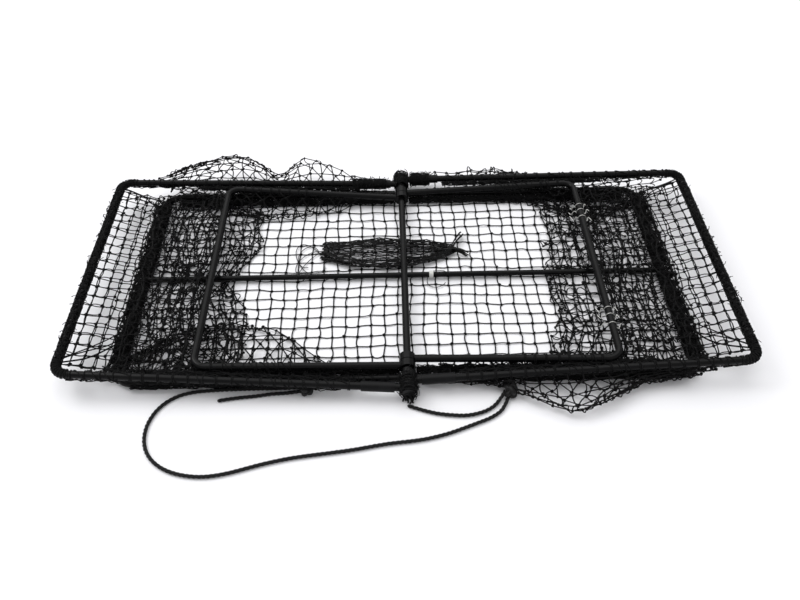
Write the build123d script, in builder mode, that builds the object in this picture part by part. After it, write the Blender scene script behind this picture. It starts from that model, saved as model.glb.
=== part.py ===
"""Folding crab trap, folded flat: a rod floor frame, a cross axle, two pairs of swinging hoops and their nets.

Millimetres, +Z up. The origin is on the ground under the middle of the cross axle, +X runs along the trap's
length to the right and +Y to the rear. Net panels, hems and knots are plain closed solids of the right size.
"""
from build123d import *

import math
import os

os.makedirs("parts", exist_ok=True)

# Driving dimensions
rod_radius = 5.0            # plastic-coated steel rod of the frame, axle and hoops
long_bar_radius = 4.0       # thinner brace bar along the floor
frame_half_length = 373.0   # to the centre of the end rods
frame_half_width = 182.0    # to the centre of the long rods
frame_corner_radius = 22.0
frame_z = 7.0               # height of the floor frame's centre line
axle_z = 17.3               # the axle lies on top of the long rods
outer_reach = 440.0         # axle to the outer hoops' end rods
outer_half_width = 186.0
inner_reach = 271.0         # axle to the inner hoops' end rods
inner_half_width = 174.5
hoop_corner_radius = 16.0
fold_tilt = 2.45            # degrees that the folded hoops still rise towards their ends
eye_radius = 10.5
arm_start = 7.5             # where an arm's rod begins inside its eye
eye_width = 10.0
running_gap = 0.06          # radial clearance of an eye on the axle
outer_lanes = (204.5, 193.5)   # eyes outside the frame: far lane, near lane
inner_lanes = (170.5, 159.5)   # eyes inside the frame: near lane, far lane
net_mesh = 18.0             # bar length of one mesh
twine_ring_radius = 6.2     # outside of a twine turn on a rod
twine_ring_width = 1.8
grip = 0.02                 # radial gap under a part wound or pushed on a rod
rope_radius = 2.5
ground_clear = 0.1

LEFT, RIGHT = -1, 1


def save(part, name):
    """Label a finished piece and write it as its own STEP file."""
    part.label = name
    export_step(part, f"parts/{name}.step")


def hoop_plane(side):
    """Plane through the axle that a folded hoop lies in: x runs out along the arms, y to the rear."""
    tilt = math.radians(fold_tilt)
    out = (side * math.cos(tilt), 0, math.sin(tilt))
    normal = Vector(*out).cross(Vector(0, 1, 0))
    return Plane(origin=(0, 0, axle_z), x_dir=out, z_dir=normal)


def across(x, y, z):
    """Plane whose normal runs to the rear, for cylinders that lie along the axle or an end rod."""
    return Plane(origin=(x, y, z), x_dir=(1, 0, 0), z_dir=(0, 1, 0))


def along(x, y, z):
    """Plane whose normal runs along the trap, for cylinders on a long rod."""
    return Plane(origin=(x, y, z), x_dir=(0, 1, 0), z_dir=(1, 0, 0))


# Floor frame: one closed loop of rod with round corners, swept in two halves
with BuildPart() as base_frame:
    with BuildLine(Plane.XY.offset(frame_z)) as frame_path:
        FilletPolyline(
            (0, -frame_half_width), (frame_half_length, -frame_half_width),
            (frame_half_length, frame_half_width), (0, frame_half_width),
            radius=frame_corner_radius,
        )
    with BuildSketch(along(0, -frame_half_width, frame_z)):
        Circle(rod_radius)
    sweep(path=frame_path.wires()[0])
    mirror(about=Plane.YZ)
save(base_frame.part, "base_frame")

# Brace bar along the middle of the floor, coped and welded to the end rods
with BuildPart() as long_bar:
    with Locations(along(0, 0, frame_z)):
        Cylinder(long_bar_radius, 2 * (frame_half_length - 2))
    with Locations(across(-frame_half_length, 0, frame_z), across(frame_half_length, 0, frame_z)):
        Cylinder(rod_radius, 40, mode=Mode.SUBTRACT)
save(long_bar.part, "long_bar")

# Cross axle with a flattened head past the last eye at each end
head_radius = 8.0
head_thickness = 3.0
axle_half_length = outer_lanes[0] + eye_width / 2 + 0.5
with BuildPart() as cross_axle:
    with Locations(across(0, 0, axle_z)):
        Cylinder(rod_radius, 2 * axle_half_length)
    for end in (-1, 1):
        with Locations(across(0, end * (axle_half_length + head_thickness / 2), axle_z)):
            Cylinder(head_radius, head_thickness)
    heads = cross_axle.edges().filter_by(GeomType.CIRCLE).filter_by(lambda e: e.radius > rod_radius + 1)
    fillet(heads, 1.0)
save(cross_axle.part, "cross_axle")

# Weld saddles that join the axle to the long rods
saddle_radius = 7.6
saddle_width = 9.0
for end, place in ((-1, "front"), (1, "rear")):
    with BuildPart() as saddle:
        with Locations(across(0, end * frame_half_width, axle_z)):
            Cylinder(saddle_radius, saddle_width)
            Cylinder(rod_radius, saddle_width + 2, mode=Mode.SUBTRACT)
        with Locations(along(0, end * frame_half_width, frame_z)):
            Cylinder(rod_radius, 4 * saddle_radius, mode=Mode.SUBTRACT)
    save(saddle.part, f"axle_saddle_{place}")


def hoop(side, reach, half_width, front_lane, rear_lane):
    """Rod bent into a U, with a flat eye round the axle at the end of each arm."""
    with BuildPart() as piece:
        with BuildLine(hoop_plane(side)) as path:
            FilletPolyline(
                (arm_start, -front_lane), (reach, -half_width), (reach, half_width), (arm_start, rear_lane),
                radius=hoop_corner_radius,
            )
        wire = path.wires()[0]
        with BuildSketch(Plane(origin=wire @ 0, z_dir=wire % 0)):
            Circle(rod_radius)
        sweep(path=wire)
        for y in (-front_lane, rear_lane):
            with Locations(across(0, y, axle_z)):
                Cylinder(eye_radius, eye_width)
                Cylinder(rod_radius + running_gap, eye_width + 20, mode=Mode.SUBTRACT)
    return piece.part


def arm_point(side, reach, half_width, lane, end, distance):
    """Point and direction on a hoop's arm, a distance out from the axle; end is -1 in front and 1 behind."""
    plane = hoop_plane(side)
    tip = plane.from_local_coords(Vector(reach, end * half_width, 0))
    root = plane.from_local_coords(Vector(arm_start, end * lane, 0))
    share = (distance - arm_start) / (reach - arm_start)
    return root + (tip - root) * share, (tip - root).normalized()


def rings_on_arms(side, reach, half_width, lanes, first, last, pitch):
    """Twine turns wound round both arms of a hoop, as one group of separate rings."""
    with BuildPart() as rings:
        for end, lane in ((-1, lanes[0]), (1, lanes[1])):
            for turn in range(int((last - first) / pitch) + 1):
                centre, way = arm_point(side, reach, half_width, lane, end, first + turn * pitch)
                with Locations(Plane(origin=centre, z_dir=way)):
                    Cylinder(twine_ring_radius, twine_ring_width)
                    Cylinder(rod_radius + grip, twine_ring_width + 1, mode=Mode.SUBTRACT)
    return rings.part


def end_hem(side, reach, half_length, thickness):
    """Gathered net lashed round a hoop's end rod: a straight sleeve."""
    centre = hoop_plane(side).from_local_coords(Vector(reach, 0, 0))
    with BuildPart() as hem:
        with Locations(across(centre.X, 0, centre.Z)):
            Cylinder(rod_radius + thickness, 2 * half_length)
            Cylinder(rod_radius + grip, 2 * half_length + 2, mode=Mode.SUBTRACT)
    return hem.part


# Hoops, their sleeves, hems and twine turns
sleeve_wall = 1.6
sleeve_first = 17.0
sleeve_length = 42.0
sides = {LEFT: "left", RIGHT: "right"}
for side, word in sides.items():
    outer_pair = outer_lanes if side == LEFT else outer_lanes[::-1]
    inner_pair = inner_lanes if side == LEFT else inner_lanes[::-1]
    save(hoop(side, outer_reach, outer_half_width, *outer_pair), f"outer_hoop_{word}")
    save(hoop(side, inner_reach, inner_half_width, *inner_pair), f"inner_hoop_{word}")
    save(end_hem(side, outer_reach, 160, 2.2), f"outer_hem_{word}")
    outer_turns = rings_on_arms(side, outer_reach, outer_half_width, outer_pair, 78, 414, net_mesh)
    save(outer_turns, f"outer_seam_{word}")
    inner_turns = rings_on_arms(side, inner_reach, inner_half_width, inner_pair, 150, 250, 14)
    save(inner_turns, f"inner_seam_{word}")
    for end, place, lane in ((-1, "front", outer_pair[0]), (1, "rear", outer_pair[1])):
        middle = sleeve_first + sleeve_length / 2
        centre, way = arm_point(side, outer_reach, outer_half_width, lane, end, middle)
        with BuildPart() as sleeve:
            with Locations(Plane(origin=centre, z_dir=way)):
                Cylinder(rod_radius + sleeve_wall, sleeve_length)
                Cylinder(rod_radius + grip, sleeve_length + 2, mode=Mode.SUBTRACT)
        save(sleeve.part, f"sleeve_{place}_{word}")

# Net edge bunched and lashed round the floor frame's end rods, open where the brace bar meets them
hem_half_depth = 10.0
hem_half_height = 6.8
hem_start = 6.0
hem_end = 154.0
for side, word in sides.items():
    x = side * frame_half_length
    with BuildPart() as base_hem:
        for end in (-1, 1):
            with BuildSketch(Plane(origin=(x, end * hem_start, frame_z), x_dir=(1, 0, 0), z_dir=(0, end, 0))):
                Ellipse(hem_half_depth, hem_half_height)
                Circle(rod_radius + grip, mode=Mode.SUBTRACT)
            extrude(amount=hem_end - hem_start)
    save(base_hem.part, f"base_hem_{word}")

# Twine turns along the floor frame's long rods, clear of the axle and the rope knots
seam_half_length = frame_half_length - 33
knot_x = 128.0
for end, place in ((-1, "front"), (1, "rear")):
    with BuildPart() as base_seam:
        for turn in range(int(2 * seam_half_length / net_mesh) + 1):
            x = -seam_half_length + turn * net_mesh
            if abs(x) < 20 or abs(abs(x) - knot_x) < 12:
                continue
            with Locations(along(x, end * frame_half_width, frame_z)):
                Cylinder(twine_ring_radius, twine_ring_width)
                Cylinder(rod_radius + grip, twine_ring_width + 1, mode=Mode.SUBTRACT)
    save(base_seam.part, f"base_seam_{place}")

# Floor net: a flat sheet on the ground inside the frame
floor_net_thickness = 1.6
floor_half_length = frame_half_length - hem_half_depth - 1
floor_half_width = frame_half_width - twine_ring_radius - 0.4
with BuildPart() as base_net:
    with BuildSketch():
        RectangleRounded(2 * floor_half_length, 2 * floor_half_width, 12)
    extrude(amount=floor_net_thickness)
save(base_net.part, "base_net")


def slab(x_range, y_range, z_range, corner=6.0):
    """Plain closed solid of a loose net panel that lies flat."""
    width = x_range[1] - x_range[0]
    depth = y_range[1] - y_range[0]
    centre = ((x_range[0] + x_range[1]) / 2, (y_range[0] + y_range[1]) / 2, z_range[0])
    with BuildPart() as panel:
        with BuildSketch(Plane(origin=centre)):
            RectangleRounded(width, depth, corner)
        extrude(amount=z_range[1] - z_range[0])
    return panel.part


def mirrored_range(side, near, far):
    """Range along X from near to far on the given side."""
    return (near, far) if side == RIGHT else (-far, -near)


# Loose side nets: two spread out past the long rods and two fall inside them
spread = 232.0
save(slab((-330, -60), (189.5, spread), (3, 6)), "side_net_rear_left")
save(slab((150, 330), (-spread, -189.5), (3, 6)), "side_net_front_right")
save(slab((-330, -90), (-175, -142), (3, 6)), "side_net_front_left")
save(slab((90, 330), (142, 175), (3, 6)), "side_net_rear_right")

# End nets, funnels and roof nets of each half
for side, word in sides.items():
    # between the floor frame's end hem and the outer hoop's end hem
    save(slab(mirrored_range(side, frame_half_length + 11.5, outer_reach - 9), (-150, 150), (14, 17)),
         f"end_net_{word}")
    # entrance funnel, lying over the brace bar
    save(slab(mirrored_range(side, 242, 356), (-138, 138), (13, 16)), f"funnel_{word}")
    # roof net from the inner hoop's end rod to the outer hoop's end rod, in the hoops' own plane
    near, far = inner_reach + rod_radius + 3, outer_reach - rod_radius - 4
    with BuildPart() as top_net:
        plane = hoop_plane(side)
        with BuildSketch(plane.shift_origin(plane.from_local_coords(Vector((near + far) / 2, 0, 0)))):
            RectangleRounded(far - near, 330, 8)
        extrude(amount=1.2, both=True)
    save(top_net.part, f"top_net_{word}")

# Bait bag, lying gathered under the axle beside the brace bar
bag_half_length, bag_half_width, bag_height = 111.0, 27.0, 9.4
with BuildPart() as bait_bag:
    with BuildSketch(Plane(origin=(-11, 48, 2.2))):
        Ellipse(bag_half_length, bag_half_width)
    extrude(amount=bag_height)
    fillet(bait_bag.edges(), 3)
save(bait_bag.part, "bait_bag")

# Split ring clip for the bag, snapped on the brace bar
with BuildPart() as bag_clip:
    with Locations(along(39, 0, frame_z)):
        Cylinder(long_bar_radius + 1.6, 6)
        Cylinder(long_bar_radius + grip, 8, mode=Mode.SUBTRACT)
    with Locations((39, 0, frame_z - 6)):
        Box(8, 5, 8, mode=Mode.SUBTRACT)
save(bag_clip.part, "bag_clip")

# Wire ties on the right inner hoop's end rod, for fastening the roof door shut
tie_half_spread = 105.0
inner_end = hoop_plane(RIGHT).from_local_coords(Vector(inner_reach, 0, 0))
for end, place in ((-1, "front"), (1, "rear")):
    with BuildPart() as door_tie:
        with Locations(across(inner_end.X, end * tie_half_spread, inner_end.Z)):
            Cylinder(rod_radius + 1.1, 4)
            Cylinder(rod_radius + grip, 6, mode=Mode.SUBTRACT)
        with Locations(along(inner_end.X - rod_radius - 9, end * tie_half_spread, inner_end.Z)):
            Cylinder(0.9, 17)
    save(door_tie.part, f"door_tie_{place}")

# Rope knots on the front long rod: a lashed collar and the knot in front of it
knot_radius = 6.9
for side, word, knot_reach in ((LEFT, "left", 15.0), (RIGHT, "right", 26.0)):
    with BuildPart() as knot:
        with Locations(along(side * knot_x, -frame_half_width, frame_z)):
            Cylinder(knot_radius, 14)
        with Locations(across(side * knot_x, -frame_half_width - 4 - knot_reach / 2, frame_z)):
            Cylinder(knot_radius, knot_reach)
        with Locations(along(side * knot_x, -frame_half_width, frame_z)):
            Cylinder(rod_radius + grip, 16, mode=Mode.SUBTRACT)
    save(knot.part, f"knot_{word}")

# Hauling rope: a bridle between the two knots and the two loose tails, all on the ground
rope_z = rope_radius + ground_clear
bridle_route = [
    (-129, -190.8, 4.0), (-160, -191.6, rope_z), (-206, -191.0, rope_z), (-248, -192.2, rope_z),
    (-279, -195.0, rope_z), (-300, -205, rope_z), (-314, -221, rope_z), (-321, -242, rope_z),
    (-320, -265, rope_z), (-310, -286, rope_z), (-291, -302, rope_z), (-267, -311, rope_z),
    (-239, -314, rope_z), (-210, -309, rope_z), (-177, -299, rope_z), (-141, -291, rope_z),
    (-103, -286.5, rope_z), (-66, -282, rope_z), (-27, -274.5, rope_z), (14, -271, rope_z),
    (47, -264, rope_z), (76, -253, rope_z), (103, -242, rope_z), (120, -227, rope_z), (127, -207, 4.5),
]
tail_left_route = [
    (-131, -197.4, 5.0), (-150, -198.8, rope_z), (-172, -199.5, rope_z), (-195, -203, rope_z),
    (-217, -204.5, rope_z), (-238, -208, rope_z),
]
tail_right_route = [
    (122, -205.5, 7.5), (109, -217, rope_z), (96, -228, rope_z), (74, -234, rope_z), (50, -233, rope_z),
    (25, -230, rope_z), (-3, -220, rope_z),
]


def rope_tube(route, name):
    """Tube of straight runs and arcs; each arc is as large as its two runs allow."""
    points = [Vector(*p) for p in route]
    radii = []
    for before, here, after in zip(points, points[1:], points[2:]):
        turn = math.radians((here - before).get_angle(after - here))
        shorter = min((here - before).length, (after - here).length)
        radii.append(0.45 * shorter / math.tan(turn / 2))
    print(name, "arc radii", [round(r, 1) for r in radii])
    with BuildPart() as tube:
        with BuildLine() as line:
            FilletPolyline(*points, radius=radii)
        path = line.wires()[0]
        with BuildSketch(Plane(origin=path @ 0, z_dir=path % 0)):
            Circle(rope_radius)
        sweep(path=path)
    expected = math.pi * rope_radius ** 2 * path.length
    print(name, "length", round(path.length, 1), "volume share", round(tube.part.volume / expected, 4))
    return tube.part


save(rope_tube(bridle_route, "rope_bridle"), "rope_bridle")
save(rope_tube(tail_left_route, "rope_tail_left"), "rope_tail_left")
save(rope_tube(tail_right_route, "rope_tail_right"), "rope_tail_right")
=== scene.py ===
"""Looks of a folding crab trap that lies folded flat: coated rods, lashed twine and knotted net.

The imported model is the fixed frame. Every length in the classes below is in millimetres, in the frame's
own axes (+X along the trap, +Y to the rear, +Z up), and is turned into metres when a mesh is made.
"""
import logging
import math
from dataclasses import dataclass, field
from enum import Enum
from typing import Sequence

import bpy
import numpy as np
from mathutils import Matrix, Vector


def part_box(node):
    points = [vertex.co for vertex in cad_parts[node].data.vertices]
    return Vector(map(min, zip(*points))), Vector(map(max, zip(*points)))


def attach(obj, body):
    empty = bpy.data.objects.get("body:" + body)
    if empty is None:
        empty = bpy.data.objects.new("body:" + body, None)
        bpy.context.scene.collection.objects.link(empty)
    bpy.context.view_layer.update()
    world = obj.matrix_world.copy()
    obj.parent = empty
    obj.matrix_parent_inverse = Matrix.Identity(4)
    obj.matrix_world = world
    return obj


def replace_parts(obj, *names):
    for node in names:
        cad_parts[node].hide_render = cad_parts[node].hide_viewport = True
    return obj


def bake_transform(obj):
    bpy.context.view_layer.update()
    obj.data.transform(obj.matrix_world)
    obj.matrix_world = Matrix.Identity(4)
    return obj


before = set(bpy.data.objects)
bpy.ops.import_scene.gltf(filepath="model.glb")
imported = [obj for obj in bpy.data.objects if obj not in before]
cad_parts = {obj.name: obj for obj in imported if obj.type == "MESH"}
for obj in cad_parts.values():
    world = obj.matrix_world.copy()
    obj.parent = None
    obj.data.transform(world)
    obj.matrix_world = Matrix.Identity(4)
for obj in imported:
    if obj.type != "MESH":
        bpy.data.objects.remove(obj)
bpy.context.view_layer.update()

LOG = logging.getLogger("crab_trap")
MM = 0.001
FLOOR_BODY = "floor_frame"
MESH_SIDE = 18.0
HOOP_CORNER = 16.0
GROUND_GAP = 0.1
FOLDED_TILT = 2.45
OUTER_SWING = 42.5
INNER_SWING = 40.0


class Side(Enum):
    """Half of the trap, as the sign of X."""

    LEFT = -1
    RIGHT = 1

    @property
    def word(self) -> str:
        """Name of the half in node and piece names."""
        return self.name.lower()

    @property
    def outer_body(self) -> str:
        """Body of the half's outer hoop."""
        return f"outer_hoop_{self.word}_body"

    @property
    def inner_body(self) -> str:
        """Body of the half's inner hoop."""
        return f"inner_hoop_{self.word}_body"


class End(Enum):
    """Long side of the trap, as the sign of Y."""

    FRONT = -1
    REAR = 1

    @property
    def word(self) -> str:
        """Name of the long side in piece names."""
        return self.name.lower()


class Fall(Enum):
    """Where a loose side net has fallen: past the long rod, or over the floor net."""

    OUTWARD = 1
    INWARD = -1


# Finishes


def new_group(name: str, inputs: dict[str, float], outputs: Sequence[str]) -> bpy.types.NodeTree:
    """Make a shader node group with named float sockets.

    Args:
        name: Name of the group.
        inputs: Float inputs and their default values.
        outputs: Names of the float outputs.

    Returns:
        The group, with its Group Input and Group Output nodes in place.
    """
    group = bpy.data.node_groups.new(name, "ShaderNodeTree")
    for label, value in inputs.items():
        socket = group.interface.new_socket(name=label, in_out="INPUT", socket_type="NodeSocketFloat")
        socket.default_value = value
    for label in outputs:
        group.interface.new_socket(name=label, in_out="OUTPUT", socket_type="NodeSocketFloat")
    group.nodes.new("NodeGroupInput")
    group.nodes.new("NodeGroupOutput")
    return group


def math_node(tree: bpy.types.NodeTree, operation: str, first: object, second: object = None,
              third: object = None) -> bpy.types.NodeSocket:
    """Add a Math node whose inputs are sockets or numbers, and return its output.

    Args:
        tree: Node tree that the node is added to.
        operation: Name of the operation.
        first: First input.
        second: Second input, where there is one.
        third: Third input, where there is one.

    Returns:
        The node's output.
    """
    node = tree.nodes.new("ShaderNodeMath")
    node.operation = operation
    for slot, value in enumerate((first, second, third)):
        if isinstance(value, bpy.types.NodeSocket):
            tree.links.new(value, node.inputs[slot])
        elif value is not None:
            node.inputs[slot].default_value = value
    return node.outputs[0]


def twisted_ply_group() -> bpy.types.NodeTree:
    """Group that gives the height of twisted yarns from a tube's own UV map, and a fine fuzz.

    Returns:
        The group, made once.
    """
    known = bpy.data.node_groups.get("TwistedPly")
    if known:
        return known
    group = new_group("TwistedPly", {"Lay": 4.0, "Plies": 3.0, "Fuzz Scale": 900.0}, ("Height", "Fuzz"))
    source, target = group.nodes["Group Input"], group.nodes["Group Output"]
    uv = group.nodes.new("ShaderNodeUVMap")
    split = group.nodes.new("ShaderNodeSeparateXYZ")
    group.links.new(uv.outputs["UV"], split.inputs[0])
    along = math_node(group, "DIVIDE", split.outputs["X"], source.outputs["Lay"])
    around = math_node(group, "MULTIPLY", split.outputs["Y"], source.outputs["Plies"])
    turns = math_node(group, "ADD", along, around)
    wave = math_node(group, "SINE", math_node(group, "MULTIPLY", turns, 2 * math.pi))
    height = math_node(group, "MULTIPLY_ADD", wave, 0.5, 0.5)
    coords = group.nodes.new("ShaderNodeTexCoord")
    fuzz = group.nodes.new("ShaderNodeTexNoise")
    fuzz.inputs["Detail"].default_value = 4.0
    group.links.new(coords.outputs["Object"], fuzz.inputs["Vector"])
    group.links.new(source.outputs["Fuzz Scale"], fuzz.inputs["Scale"])
    group.links.new(height, target.inputs["Height"])
    group.links.new(fuzz.outputs["Fac"], target.inputs["Fuzz"])
    return group


def scuff_group() -> bpy.types.NodeTree:
    """Group that gives worn streaks and fine grain on a coated surface, both from 0 to 1.

    Returns:
        The group, made once.
    """
    known = bpy.data.node_groups.get("Scuffs")
    if known:
        return known
    group = new_group("Scuffs", {"Streak Scale": 60.0, "Grain Scale": 900.0, "Amount": 0.4},
                      ("Wear", "Grain"))
    source, target = group.nodes["Group Input"], group.nodes["Group Output"]
    coords = group.nodes.new("ShaderNodeTexCoord")
    streaks = group.nodes.new("ShaderNodeTexNoise")
    streaks.inputs["Detail"].default_value = 6.0
    streaks.inputs["Roughness"].default_value = 0.7
    grain = group.nodes.new("ShaderNodeTexNoise")
    grain.inputs["Detail"].default_value = 3.0
    ramp = group.nodes.new("ShaderNodeMapRange")
    ramp.inputs["From Min"].default_value = 0.50
    ramp.inputs["From Max"].default_value = 0.76
    group.links.new(coords.outputs["Object"], streaks.inputs["Vector"])
    group.links.new(coords.outputs["Object"], grain.inputs["Vector"])
    group.links.new(source.outputs["Streak Scale"], streaks.inputs["Scale"])
    group.links.new(source.outputs["Grain Scale"], grain.inputs["Scale"])
    group.links.new(streaks.outputs["Fac"], ramp.inputs["Value"])
    group.links.new(math_node(group, "MULTIPLY", ramp.outputs["Result"], source.outputs["Amount"]),
                    target.inputs["Wear"])
    group.links.new(grain.outputs["Fac"], target.inputs["Grain"])
    return group


def blank_material(name: str) -> bpy.types.Material:
    """Make a node material with only a Principled shader.

    Args:
        name: Name of the material.

    Returns:
        The new material.
    """
    material = bpy.data.materials.new(name)
    material.use_nodes = True
    return material


def link_colour(material: bpy.types.Material, low: Sequence[float], high: Sequence[float],
                mask: bpy.types.NodeSocket) -> None:
    """Mix two colours by a mask into the shader's base colour.

    Args:
        material: Material that is dressed.
        low: Colour where the mask is 0.
        high: Colour where the mask is 1.
        mask: Output that gives the mask.
    """
    tree = material.node_tree
    mix = tree.nodes.new("ShaderNodeMix")
    mix.data_type = "RGBA"
    mix.inputs["A"].default_value = (*low, 1.0)
    mix.inputs["B"].default_value = (*high, 1.0)
    tree.links.new(mask, mix.inputs["Factor"])
    tree.links.new(mix.outputs["Result"], tree.nodes["Principled BSDF"].inputs["Base Color"])


def link_roughness(material: bpy.types.Material, low: float, high: float,
                   mask: bpy.types.NodeSocket) -> None:
    """Drive the shader's roughness between two values by a mask.

    Args:
        material: Material that is dressed.
        low: Roughness where the mask is 0.
        high: Roughness where the mask is 1.
        mask: Output that gives the mask.
    """
    tree = material.node_tree
    spread = tree.nodes.new("ShaderNodeMapRange")
    spread.inputs["To Min"].default_value = low
    spread.inputs["To Max"].default_value = high
    tree.links.new(mask, spread.inputs["Value"])
    tree.links.new(spread.outputs["Result"], tree.nodes["Principled BSDF"].inputs["Roughness"])


def link_bump(material: bpy.types.Material, height: bpy.types.NodeSocket, strength: float,
              depth: float) -> None:
    """Feed a height into the shader's normal through a Bump node; depth is in millimetres.

    Args:
        material: Material that is dressed.
        height: Output that gives the height.
        strength: Strength of the bump.
        depth: Depth of the relief.
    """
    tree = material.node_tree
    bump = tree.nodes.new("ShaderNodeBump")
    bump.inputs["Strength"].default_value = strength
    bump.inputs["Distance"].default_value = depth * MM
    tree.links.new(height, bump.inputs["Height"])
    tree.links.new(bump.outputs["Normal"], tree.nodes["Principled BSDF"].inputs["Normal"])


@dataclass(frozen=True)
class TwineFinish:
    """Twisted black twine or rope: a dark colour painted as shade in the valleys between its plies, a lighter
    colour on the crowns, gloss and twist.
    """

    name: str
    # painted shade: the valleys of the twist get a darker colour than the lit crowns
    valley: tuple[float, float, float] = (0.0015, 0.0015, 0.0017)
    lit_crown_colour: tuple[float, float, float] = (0.009, 0.009, 0.0098)
    roughness: float = 0.6
    specular: float = 0.12
    sheen: float = 0.02
    lay: float = 4.0
    plies: float = 3.0
    depth: float = 0.25

    def material(self) -> bpy.types.Material:
        """Build the material once and return it.

        Returns:
            The material.
        """
        known = bpy.data.materials.get(self.name)
        if known:
            return known
        material = blank_material(self.name)
        tree = material.node_tree
        shader = tree.nodes["Principled BSDF"]
        shader.inputs["Sheen Weight"].default_value = self.sheen
        shader.inputs["Specular IOR Level"].default_value = self.specular
        ply = tree.nodes.new("ShaderNodeGroup")
        ply.node_tree = twisted_ply_group()
        ply.inputs["Lay"].default_value = self.lay
        ply.inputs["Plies"].default_value = self.plies
        # the mix follows the ply height and paints shade into the grooves between plies; the fuzz noise
        # multiplied in gives real random tone
        mask = math_node(tree, "MULTIPLY", ply.outputs["Height"], ply.outputs["Fuzz"])
        link_colour(material, self.valley, self.lit_crown_colour, mask)
        link_roughness(material, self.roughness - 0.12, self.roughness + 0.12, ply.outputs["Fuzz"])
        link_bump(material, ply.outputs["Height"], 0.8, self.depth)
        return material


@dataclass(frozen=True)
class CoatFinish:
    """Dip-coated, moulded or drawn surface with fine grain and worn streaks."""

    name: str
    colour: tuple[float, float, float]
    worn: tuple[float, float, float]
    roughness: float = 0.4
    amount: float = 0.5
    metallic: float = 0.0
    specular: float = 0.13
    streak_scale: float = 60.0
    grain_depth: float = 0.15

    def material(self) -> bpy.types.Material:
        """Build the material once and return it.

        Returns:
            The material.
        """
        known = bpy.data.materials.get(self.name)
        if known:
            return known
        material = blank_material(self.name)
        tree = material.node_tree
        shader = tree.nodes["Principled BSDF"]
        shader.inputs["Metallic"].default_value = self.metallic
        shader.inputs["Specular IOR Level"].default_value = self.specular
        scuffs = tree.nodes.new("ShaderNodeGroup")
        scuffs.node_tree = scuff_group()
        scuffs.inputs["Amount"].default_value = self.amount
        scuffs.inputs["Streak Scale"].default_value = self.streak_scale
        link_colour(material, self.colour, self.worn, scuffs.outputs["Wear"])
        link_roughness(material, self.roughness - 0.06, self.roughness + 0.24, scuffs.outputs["Wear"])
        link_bump(material, scuffs.outputs["Grain"], 0.3, self.grain_depth)
        return material


# The twines' valley and crown colours paint shade into the grooves of the twist.
NET_TWINE = TwineFinish("net_twine")
LASHING_TWINE = TwineFinish("lashing_twine", roughness=0.7, lay=3.0, depth=0.3)
BAG_TWINE = TwineFinish("bag_twine", roughness=0.3, specular=0.2, lit_crown_colour=(0.005, 0.005, 0.006), lay=3.0)
ROPE_YARN = TwineFinish("rope_yarn", lit_crown_colour=(0.014, 0.014, 0.015), roughness=0.5, specular=0.22, lay=7.0,
                        plies=8.0, depth=0.15)
ROD_COAT = CoatFinish("rod_coat", (0.0022, 0.0022, 0.0025), (0.007, 0.007, 0.0075), roughness=0.3)
SLEEVE_PLASTIC = CoatFinish("sleeve_plastic", (0.004, 0.004, 0.0045), (0.012, 0.012, 0.013), roughness=0.42)
CLIP_PLASTIC = CoatFinish("clip_plastic", (0.62, 0.62, 0.60), (0.40, 0.40, 0.38), amount=0.4, specular=0.4)
TIE_WIRE = CoatFinish("tie_wire", (0.40, 0.40, 0.39), (0.14, 0.135, 0.13), roughness=0.35, metallic=0.7,
                      specular=0.5, streak_scale=400.0)


# Twine, knots and nets as meshes


def golden_ball() -> tuple[np.ndarray, np.ndarray]:
    """Corners and faces of a 20-sided ball of radius 1.

    Returns:
        Corners (12, 3) and faces (20, 3).
    """
    long_side = (1 + math.sqrt(5)) / 2
    corners = []
    for first in (-1.0, 1.0):
        for second in (-long_side, long_side):
            corners += [(0.0, first, second), (first, second, 0.0), (second, 0.0, first)]
    corners = np.array(corners)
    edge = 2.0
    faces = []
    for a in range(12):
        for b in range(a + 1, 12):
            for c in range(b + 1, 12):
                sides = [np.linalg.norm(corners[m] - corners[n]) for m, n in ((a, b), (b, c), (c, a))]
                if max(sides) < edge + 1e-6:
                    normal = np.cross(corners[b] - corners[a], corners[c] - corners[a])
                    outward = normal @ corners[a] > 0
                    faces.append((a, b, c) if outward else (a, c, b))
    return corners / np.linalg.norm(corners[0]), np.array(faces)


BALL_CORNERS, BALL_FACES = golden_ball()


def unit(vectors: np.ndarray) -> np.ndarray:
    """Scale vectors along the last axis to length 1."""
    return vectors / (np.linalg.norm(vectors, axis=-1, keepdims=True) + 1e-12)


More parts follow.
